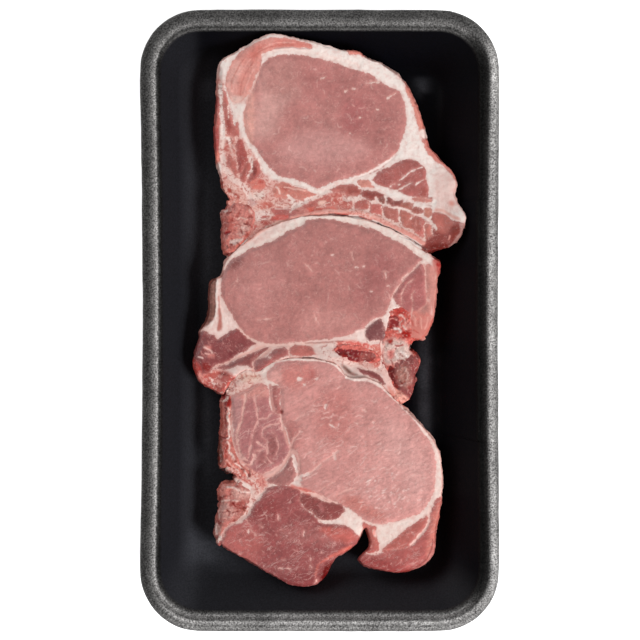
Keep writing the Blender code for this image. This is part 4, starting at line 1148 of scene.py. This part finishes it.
def square_rim(piece, neighbours):
    """Lifts the rounded rim of a slice to its cut face, fully where a neighbour touches it."""
    points, facing = points_of(piece), normals_of(piece)
    x, y, z = points.T
    terms = np.stack([np.ones_like(x), x, y, x * x, x * y, y * y], 1)
    on_top = facing[:, 2] > LEVEL_ENOUGH
    level = np.linalg.lstsq(terms[on_top], z[on_top], rcond=None)[0]
    drop = np.maximum(terms @ level - z, 0)
    rim = (drop > 0.05) & (drop < 5) & (facing[:, 2] > -0.2)
    touched = np.zeros(len(points))
    for neighbour in neighbours:
        gaps = gaps_to(neighbour, points, rim, RIM_REACH)
        touched = np.maximum(touched, 1 - ease(gaps, 1.5, RIM_REACH))
    usual = 0.8 * drop * (1 - ease(drop, 1.4, 3.8))
    full = 0.95 * drop * (1 - ease(drop, 3.0, 5.0))
    points[:, 2] += rim * (usual + touched * (full - usual))
    move_points(piece, points)


# %% Let neighbours ride up on each other
MEETING_REACH = 9.0
MEETINGS = {"chop_far": (("chop_middle", 1.3),),
            "chop_middle": (("chop_near", 1.5), ("chop_far", -0.4)),
            "chop_near": (("chop_middle", -0.5),)}


def rise_to_meet(piece, chop):
    """Lifts or lowers a piece of this chop by so many mm where it lies against another chop."""
    points, facing = points_of(piece), normals_of(piece)
    for neighbour, rise in MEETINGS[chop]:
        gaps = gaps_to(neighbour, points, facing[:, 2] > 0.2, MEETING_REACH)
        points[:, 2] += rise * (1 - ease(gaps, 1.0, MEETING_REACH))
    move_points(piece, points)


# %% Draw a rim outwards
PULL_WIDTH = 6.0
PULLS = ((-46, 32, -1.0, 1.2), (-37, 36.5, -1.2, 1.8), (-28, 42.5, -1.2, 2.2), (-20, 46.5, -0.7, 1.8),
         (-11, 50.6, 0, 0.8), (15, 51, 0.2, 0.6), (23, 48.7, 0.5, 1.4), (31, 46, 0.9, 1.9),
         (39, 42.6, 1, 1.8), (46, 39, 1.0, 1.6), (54, 34, 0.6, 0.8))


def pull_out(piece, pulls):
    """Draws the rim outwards near given spots, each with x, y and how far to go."""
    points = points_of(piece)
    gaps = [((points[:, :2] - pull[:2]) ** 2).sum(1) for pull in pulls]
    weights = np.exp(-np.stack(gaps, 1) / PULL_WIDTH ** 2)
    shifts = np.array([pull[2:] for pull in pulls])
    points[:, :2] += weights @ shifts / np.maximum(weights.sum(1), 1)[:, None]
    move_points(piece, points)


# %% Press neighbours together
TOUCH = 1.4
PRESS = 0.8


def press_against(piece, neighbours):
    """Pushes the sides of a piece against its neighbours, so that no slit is left between them."""
    points, facing = points_of(piece), normals_of(piece)
    level = facing * (1, 1, 0)
    length = np.linalg.norm(level, axis=1)
    for neighbour in neighbours:
        close = np.isfinite(gaps_to(neighbour, points, length > 0.35, TOUCH))
        points[close] += level[close] / length[close, None] * TOUCH * PRESS
    move_points(piece, points)


# %% [markdown]
# ### Carving and painting
# The spots are shaken a little before the cutting list is laid, so that no outline is too
# neat. Then the layers are stored, the marks lift or sink the top, small and wide hills are
# added, and the sides get crumbs, as meat that was only pulled apart there has.

# %% Carve and paint a piece
def paint(piece, listing, base, seed, rough=1.0, grow=0.3):
    """Carves and paints one piece from its cutting list."""
    points, facing = points_of(piece), normals_of(piece)
    shake = [0.18 * hills(points, 1.1, seed + n + 9) + 0.25 * hills(points, 2.2, seed + n)
             + 0.4 * hills(points, 7, seed + n + 5) for n in (1, 2)]
    spots = points[:, :2] + rough * np.stack(shake, 1)
    depth, lean, fat, busy, lift = lay_marks(spots, listing, base)
    up = ease(facing[:, 2], 0.2, 0.8)
    # How much a point faces sideways: it sets the crumbs, and the shaders tint the sides darker and warmer
    # as painted shade, warm like light that has passed through meat.
    side = 1 - ease(np.abs(facing[:, 2]), 0.3, 0.9)
    layers = {"lean_depth": depth, "lean_colour": lean, "fat_colour": fat, "busy": busy, "edge_on": side}
    for name, values in layers.items():
        store(piece, name, values)
    small = 0.13 * hills(points, 3.2, seed + 21) + 0.07 * hills(points, 1.4, seed + 22)
    wide = 0.25 * hills(points, 11, seed + 23)
    points[:, 2] += up * (lift + rough * (small + wide))
    crumbs = 0.45 * hills(points, 3.0, seed + 24) + 0.28 * hills(points, 1.2, seed + 25)
    points += facing * (side * (grow + rough * crumbs))[:, None]
    move_points(piece, points)
    only(piece)
    bpy.ops.object.shade_smooth()
    print(piece.name, "has", sum(len(face.vertices) - 2 for face in piece.data.polygons), "triangles")


# %% [markdown]
# ## The finish of raw meat
# Lean meat is moist and slightly glossy, with fine fibres that all run one way, and specks of
# fat between them. Fat is paler and smoother. The drawing of the slice comes from the layers
# on its points, which can't be finer than its cells, so noise nodes add all that is smaller:
# the ragged border, the fibres and the dots. One recipe serves all three chops; only the
# direction and strength of the fibres differ.

# %% Where it is lean
def lean_share(tree, place, depth, busy):
    """1 in lean and 0 in fat, with a ragged border that is a little blurred."""
    ragged = combine(tree, "ADD", spread(tree, noise_at(tree, place, 1200.0), 0.2, 0.8, -0.30, 0.30),
                     spread(tree, noise_at(tree, place, 420.0), 0.2, 0.8, -0.50, 0.50))
    ragged = combine(tree, "MULTIPLY", ragged, spread(tree, busy, 0, 1, 1.0, 1.3))
    sharp = spread(tree, combine(tree, "ADD", depth, ragged), -0.3, 0.3, 0.0, 0.78, soft=True)
    blurred = combine(tree, "ADD", depth, combine(tree, "MULTIPLY", ragged, 1.6))
    return combine(tree, "ADD", sharp, spread(tree, blurred, -1.1, 1.1, 0.0, 0.22, soft=True))


# %% The look of lean meat
def wisps(tree, vector, scale, width, strength):
    """Thin pale curls, broken into short bits."""
    ridge = combine(tree, "SUBTRACT", noise_at(tree, vector, scale, curl=1.2), 0.5)
    ridge = wire(tree, "Math", {0: ridge}, operation="ABSOLUTE").outputs[0]
    bits = spread(tree, noise_at(tree, vector, scale * 0.8, 1.0), 0.48, 0.6, 0.0, strength)
    return combine(tree, "MULTIPLY", spread(tree, ridge, 0.0, width, 1.0, 0.0), bits)


def lean_look(tree, fields, ripple, specks):
    """The painted colour of lean, with fibres, blotches, a pale border, curls, dots of fat and painted shade
    on its sides.
    """
    depth, busy = stored(tree, "lean_depth"), stored(tree, "busy")
    clouds = ((fields["cloud"], 0.25, 0.75, -0.13, 0.13),
              (noise_at(tree, fields["aside"], 480.0, 3.0), 0.25, 0.75, -0.11, 0.11),
              (noise_at(tree, fields["place"], 55.0, 1.0), 0.3, 0.7, -0.05, 0.05),
              (fields["fine"], 0.25, 0.75, 0.89, 1.11))
    bright = spread(tree, fields["ripples"], 0.25, 0.75, -ripple, ripple)
    for cloud in clouds:
        bright = combine(tree, "ADD", bright, spread(tree, *cloud))
    lean = mix(tree, 1.0, stored(tree, "lean_colour", "Color"), bright, "MULTIPLY")
    lean = mix(tree, spread(tree, depth, 1.4, 0.1, 0.0, 0.16, soft=True), lean, shade(226, 156, 146))
    curls = (("along", 330.0, 0.030, specks), ("aside", 560.0, 0.035, specks * 0.8))
    for vector, scale, width, strength in curls:
        lean = mix(tree, wisps(tree, fields[vector], scale, width, strength), lean, shade(232, 190, 182))
    dots = spread(tree, noise_at(tree, fields["place"], 1500.0, 1.0), 0.66, 0.74, 0.0, 0.45)
    dots = combine(tree, "MULTIPLY", dots, spread(tree, busy, 0, 1, 0.3, 1.0))
    lean = mix(tree, dots, lean, shade(238, 204, 198))
    edge_on = combine(tree, "MULTIPLY", stored(tree, "edge_on"), 0.4)
    return mix(tree, edge_on, lean, (0.9, 0.56, 0.52, 1), "MULTIPLY")


# %% The look of fat
def fat_look(tree, fields):
    """The painted colour of fat, with a blush, a pink border, torn streaks where it is busy, and painted
    shade on its sides.
    """
    depth, busy = stored(tree, "lean_depth"), stored(tree, "busy")
    tone = spread(tree, fields["cloud"], 0.25, 0.75, 0.94, 1.04)
    pale = mix(tree, 1.0, stored(tree, "fat_colour", "Color"), tone, "MULTIPLY")
    blush = spread(tree, noise_at(tree, fields["aside"], 500.0, 3.0), 0.45, 0.75, 0.0, 0.42)
    pale = mix(tree, blush, pale, shade(220, 156, 145))
    pale = mix(tree, spread(tree, depth, -1.6, -0.2, 0.0, 0.18, soft=True), pale, shade(224, 166, 156))
    streaks = noise_at(tree, fields["aside"], 420.0, 2.5, curl=1.5)
    torn = mix(tree, spread(tree, streaks, 0.53, 0.66, 0.0, 0.60), pale, shade(242, 212, 202))
    torn = mix(tree, spread(tree, streaks, 0.47, 0.36, 0.0, 0.66), torn, shade(182, 94, 86))
    pale = mix(tree, busy, pale, torn)
    edge_on = combine(tree, "MULTIPLY", stored(tree, "edge_on"), 0.5)
    return mix(tree, edge_on, pale, (0.88, 0.38, 0.32, 1), "MULTIPLY")


# %% Meat shader
def meat_finish(name, turn, stretch, ripple, specks):
    """Raw meat, rippled at this turn in degrees; the last two numbers say how strong its marks are."""
    finish, tree, place, shader = new_material(name)
    run = {"Vector": place, "Rotation": (0, 0, math.radians(turn)), "Scale": (stretch, 1, 1)}
    along = wire(tree, "Mapping", run, vector_type="TEXTURE").outputs[0]
    aside = wire(tree, "Mapping", {"Vector": place, "Location": (0.3, 0.2, 0.1)}).outputs[0]
    ripples = noise_at(tree, along, 850.0, 3.0, rough=0.6)
    fine = noise_at(tree, place, 900.0, 4.0, rough=0.65)
    fields = {"place": place, "along": along, "aside": aside, "ripples": ripples, "fine": fine,
              "cloud": noise_at(tree, place, 170.0, 3.0)}
    is_lean = lean_share(tree, place, stored(tree, "lean_depth"), stored(tree, "busy"))
    colour = mix(tree, is_lean, fat_look(tree, fields), lean_look(tree, fields, ripple, specks))
    tree.links.new(colour, shader.inputs["Base Color"])
    gloss = spread(tree, is_lean, 0, 1, 0.46, 0.36)
    gloss = combine(tree, "ADD", gloss, spread(tree, fine, 0.3, 0.7, -0.08, 0.08))
    tree.links.new(gloss, shader.inputs["Roughness"])
    relief = combine(tree, "MULTIPLY", ripples, spread(tree, is_lean, 0, 1, 0.2, 4.0 * ripple))
    emboss(tree, shader, combine(tree, "ADD", relief, combine(tree, "MULTIPLY", fine, 0.8)), 0.5)
    shader.inputs["Specular IOR Level"].default_value = 0.5
    return finish


# %% [markdown]
# ### Three chops from one recipe
# Each chop has its own cutting list, its own neighbours to press against and its own grain.
# The near one was cut a little aslant, so its fibres show as streaks; the others show round
# fibre ends, which look almost smooth.

# %% What is special about each chop
CHOPS = {
    "chop_far": (FAR_MARKS, FAR_FAT, ("chop_middle", "chop_far_backbone"), (0, 1.0, 0.03, 0.35)),
    "chop_middle": (MIDDLE_MARKS, MIDDLE_FAT, ("chop_near", "chop_middle_backbone", "chop_middle_rib"),
                    (0, 1.0, 0.03, 0.3)),
    "chop_near": (NEAR_MARKS, NEAR_FAT, ("chop_near_backbone", "chop_near_chine"), (28, 3.0, 0.12, 0.5)),
}
print("chops:", ", ".join(CHOPS))

# %% Make the three chops
for number, (node, (listing, base, under, grain)) in enumerate(CHOPS.items()):
    chop = merged_copy(node, "meat_of_" + node)
    fine_skin(chop, MEAT_CELL, MEAT_TOP_ROUNDS)
    square_rim(chop, [other for other in CHOPS if other != node])
    rise_to_meet(chop, node)
    if node == "chop_middle":
        pull_out(chop, PULLS)
    thin_underside(chop, UNDERSIDE_SHARE)
    press_against(chop, under)
    paint(chop, listing, base, seed=100 + 50 * number)
    chop.data.materials.append(meat_finish("meat_of_" + node, *grain))
    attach(chop, "root")
    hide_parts(node)

# %% [markdown]
# ## Cut bone
# The saw leaves each bone flat and spongy: a thin pale wall around red marrow full of tiny
# pits. A bone is cut by the same saw as the meat, so its top lies level with the slice. Noise
# alone would make the bones look alike, so the larger hollows, clots and pale bits are listed
# as the marks of the meat are, and noise adds only the sponge between them.

# %% Cutting lists of the bones
# The near-black pit in the middle backbone is painted shadow in a hole, and the near bones share the painted
# hollow of the near chop.
BONE_MARKS = {
    "chop_far_backbone": ((218, 140, 130), """
lean 206,128,119 0.1 | -49,55.5 -44,57.5 -37,58 -34,56.5 -33,50 -35,46 -38,42 -42,41.5 -49,41
stain 190,106,98 1.2 | -48.6,51 -45,52 -42,49 -44,45.5 -48.6,46
stain 212,136,127 1.2 | -44,56 -38,57 -36,52 -41,50
stain 214,160,150 1.2 | -39.5,49.5 -36.5,49 -35.4,46 -37.4,42.6 -39.8,42 -40.2,45.5
stain 222,126,114 1 | -49,39.5 -44,41 -39,42 -35,45 -33,42 -38,37 -43,33 -48,34
stain 236,200,190 0.6 | -45,40 -41,41 -38.6,41.4 -39.4,39.6 -42,38 -45,37.4
pit 150,44,40 0.4 | -48.8,43.2 -46.6,42.8 -44.4,44 -43.6,45 -45.8,45 -48.4,44.4
line 128,60,50 0.8 | -45,38.2 -44.2,37.8
line 150,64,56 0.8 | -41.2,38.6 -40.4,38.2
line 130,66,56 0.7 | -46.4,37.4 -46,36.4
line 236,190,178 0.7 | -40.4,51 -38.6,51.7 -36.2,51
line 236,196,186 0.7 | -39.4,47.6 -38.2,46.2 -37.4,46.8
line 236,196,186 0.6 | -38.6,44.4 -37.2,43.4
line 126,54,48 0.8 | -37.8,49 -36.6,48.6
line 134,56,50 0.7 | -39.4,45.4 -38.8,44.2
line 238,182,170 1.2 | -35,55.6 -34,54.8
line 226,170,160 0.6 | -48.9,53 -48.9,47
line 238,206,198 1.2 | -50,55.2 -47.8,54.6 -46.2,55
line 150,62,54 0.8 | -46.4,53.6 -44,54
line 130,44,38 0.8 | -46,33.4 -42.6,34
"""),
    "chop_middle_backbone": ((208, 106, 97), """
stain 208,108,99 2 | 36,8 48,8 52,2 52,-12 40,-8 36,0
stain 196,82,76 1.0 | 37,6.4 41,6.8 44,5 43,3 39,3.6
lean 148,66,66 0.1 | 33,-1 34.6,2 38,2.9 40,1.4 39.5,-2 37,-3.6 34,-3
line 226,150,140 0.6 | 35,1 37.6,1.6 39.2,0.4
line 236,190,180 0.8 | 40.6,3.4 42.8,1.6 43.4,-0.8
line 232,176,166 0.7 | 41.6,0.4 40.4,-1.4 41,-3.4
line 240,212,204 1.4 | 38,-3.8 40,-4.6 41.4,-6
line 236,202,192 1.0 | 42.6,-2.6 43.6,-4.4
stain 172,56,52 0.9 | 41.5,-6 44.8,-5.4 45.6,-8.6 42.6,-9
stain 226,150,140 0.8 | 43,-0.6 46,0 46.4,-3 44,-4
stain 228,196,186 2 | 33,-11 42,-10 46,-16 46,-20 38,-22 33,-21
stain 222,136,128 1.2 | 34.5,-15 37.5,-15 37.5,-19.5 34.5,-19.5
stain 160,66,62 0.8 | 34.4,-10 37.2,-9.6 37,-11.6 34.6,-11.8
line 190,104,98 0.8 | 38.4,-12.6 41.6,-12.2
line 246,226,218 1.0 | 40.6,-15.6 42.6,-17 44.6,-18.6
line 246,226,218 0.8 | 38.6,-17 39.6,-19.6
pit 25,12,12 0.8 | 45,-11.8 48,-12.6 48,-15 45.4,-14.4
line 240,214,206 0.8 | 44.4,-13.6 45.4,-14.4
lean 152,88,86 0.1 | 34.5,-26 36,-23.4 37.6,-24.4 39,-21.6 40.6,-22.8 42,-19.8 44,-21 46,-17.6 48,-18.6
 50,-17 50.5,-22 49,-28 47.5,-34 45,-39 41,-36 38,-33 36,-29
flush 112,46,48 1.5 | 34,-24 38,-23 38,-30 40,-34 37,-33
flush 180,128,118 2 | 39,-25 44,-23 46,-30 44,-34 40,-31
line 222,176,166 0.6 | 43,-24 44.6,-26.6 44,-29
line 104,44,42 0.7 | 40.6,-30 42.4,-32.6
stain 232,165,150 0.8 | 33,-30 38,-34 45,-39.5 44,-43 36,-38
line 205,150,142 0.5 | 41,-33 46,-31
line 214,126,117 0.8 | 51,-18 50,-27 48,-35 46,-40
"""),
    "chop_middle_rib": ((225, 122, 112), """
lean 140,60,62 0.1 | 8,-15.5 9.5,-14.3 12,-14.8 16,-14.8 22,-15.2 26,-16 28,-18 26.5,-20.5 22,-20.8
 16,-19.8 11,-19 9,-17.5
flush 105,38,40 0.7 | 10,-16.4 16,-16.6 16,-17.6 10,-17.4
flush 170,95,90 1 | 21,-16 27,-16.6 27,-20 21,-20
"""),
    "chop_near_backbone": ((198, 128, 119), """
lean 192,120,112 0.1 | -50,-82 -44,-80 -38,-84 -35,-88 -37,-94 -42,-98 -47,-103 -50.6,-100 -50.6,-90
stain 222,138,126 1.4 | -52,-86 -50,-82 -44,-80.6 -41,-82.4 -46,-86 -51,-88
stain 214,160,150 1.4 | -43,-85 -35,-85.6 -34.4,-89 -39,-90 -43,-88.4
stain 206,150,141 1.6 | -49.6,-92 -44,-92.4 -42.6,-98 -48,-100
line 226,186,176 0.8 | -48.6,-90.4 -44,-89.8 -40,-91
line 150,70,64 0.7 | -50,-88.6 -47,-87.8
stain 170,96,90 1.0 | -41,-91 -37.4,-91 -37.4,-94 -40.6,-95
pit 120,32,32 0.3 | -50.8,-88.6 -49.4,-88.4 -49.2,-90 -50.6,-90.2
line 130,50,46 0.8 | -43.4,-91.4 -42,-93
line 130,50,46 0.7 | -38,-94 -36.6,-94.6
line 150,60,56 0.7 | -50.4,-100.6 -49.2,-101.6
line 132,58,52 0.7 | -46,-95 -45,-96.4
line 232,190,180 0.9 | -50.6,-94 -50.4,-99
stain 196,140,130 0.8 | -54,-103 -50,-103 -49.4,-111 -53,-112
line 226,196,188 0.9 | -51.6,-102 -51.4,-108
line 240,206,196 0.9 | -46,-83.6 -42,-84.6 -38.6,-86.4 -34.6,-86.6
line 132,66,56 0.8 | -38.6,-94.6 -37,-96.4
line 214,160,152 0.8 | -47.4,-93.4 -44,-94.2
line 158,86,80 0.7 | -44,-97 -41.4,-96
""" + HOLLOW),
    "chop_near_chine": ((208, 128, 118), """
lean 206,124,114 0.1 | -50,-36 -44,-36 -44,-60 -40,-72 -46,-76 -50,-70 -50,-50
stain 150,52,46 0.9 | -49.4,-37.4 -46,-37 -44.6,-40 -45.4,-43.4 -48.2,-42.4
line 236,202,190 1.2 | -49.6,-40.8 -47.4,-40 -46.4,-38.6
line 236,200,190 1.3 | -46.4,-44.4 -45.2,-45.8 -45.6,-47.4
line 110,34,30 0.7 | -48,-44 -47,-45 -47.2,-46.2
line 214,120,108 1.4 | -49,-46 -48.6,-50 -49,-54
line 236,204,194 1.4 | -45.8,-49 -45,-51.6 -45.6,-54.2
line 170,74,66 0.8 | -46.8,-48 -47,-51 -46.6,-54
line 240,212,203 1.2 | -46,-55.4 -44.8,-57.4 -45.6,-59
line 142,50,44 0.8 | -50,-58.2 -47.6,-58.8 -46,-58.2
stain 104,66,58 1.0 | -52,-58 -49.6,-59 -49,-66 -49.4,-72 -52,-72
line 206,110,100 1.0 | -48,-60.4 -47.6,-65 -48.2,-69
line 236,202,192 1.0 | -46,-61 -44.8,-63.4 -45.2,-65.6
line 150,56,50 0.7 | -46.4,-62.4 -46.8,-66
line 240,210,200 1.1 | -45,-66.6 -43.6,-68.6 -42.4,-70
stain 216,128,116 1.4 | -48,-69 -42,-70 -36,-77 -34,-82 -40,-80 -46,-75
line 232,172,160 0.8 | -47.6,-70.6 -44,-72.6 -40.6,-76
line 156,60,52 0.8 | -46.4,-72.6 -42.4,-75.4 -39.4,-78.6
line 240,206,196 0.8 | -42,-71.4 -38.6,-75 -36,-78.6
line 130,40,36 0.7 | -39.8,-74 -39,-74.6
line 120,36,32 0.8 | -36.4,-76.6 -35.8,-77.6
""" + HOLLOW),
}
print("bones:", ", ".join(BONE_MARKS))


# %% Bone shader
def bone_finish(name):
    """Sawn spongy bone, with painted shade on its sides."""
    finish, tree, place, shader = new_material(name)
    marrow, wall = stored(tree, "lean_colour", "Color"), stored(tree, "fat_colour", "Color")
    sponge = noise_at(tree, place, 750.0, 3.0)
    clots = noise_at(tree, place, 430.0)
    pores = spread(tree, cells_at(tree, place, 850.0), 0.15, 0.7, 1.12, 0.80)
    colour = mix(tree, spread(tree, stored(tree, "lean_depth"), -0.3, 0.3, soft=True), wall, marrow)
    colour = mix(tree, 1.0, colour, pores, "MULTIPLY")
    colour = mix(tree, spread(tree, sponge, 0.56, 0.70, 0.0, 0.40), colour, shade(234, 192, 182))
    colour = mix(tree, spread(tree, clots, 0.44, 0.34, 0.0, 0.6), colour, shade(142, 54, 50))
    edge_on = combine(tree, "MULTIPLY", stored(tree, "edge_on"), 0.4)
    colour = mix(tree, edge_on, colour, (0.85, 0.45, 0.41, 1), "MULTIPLY")
    tree.links.new(colour, shader.inputs["Base Color"])
    shader.inputs["Roughness"].default_value = 0.46
    emboss(tree, shader, combine(tree, "ADD", sponge, clots), 0.5)
    return finish


cut_bone = bone_finish("cut_bone_and_marrow")

# %% Make the bones
GROW = 0.33
for number, (node, (base, listing)) in enumerate(BONE_MARKS.items()):
    bone = merged_copy(node, "cut_" + node.replace("chop_", ""))
    fine_skin(bone, BONE_CELL, BONE_TOP_ROUNDS)
    points = points_of(bone) + GROW * normals_of(bone) * (1, 1, 0.5)
    points[:, 2] = np.maximum(points[:, 2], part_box(node)[0].z / MM)
    move_points(bone, points)
    rise_to_meet(bone, node.rsplit("_", 1)[0])
    paint(bone, listing, base, seed=700 + 40 * number, rough=1.8, grow=0.0)
    bone.data.materials.append(cut_bone)
    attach(bone, "root")
    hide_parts(node)
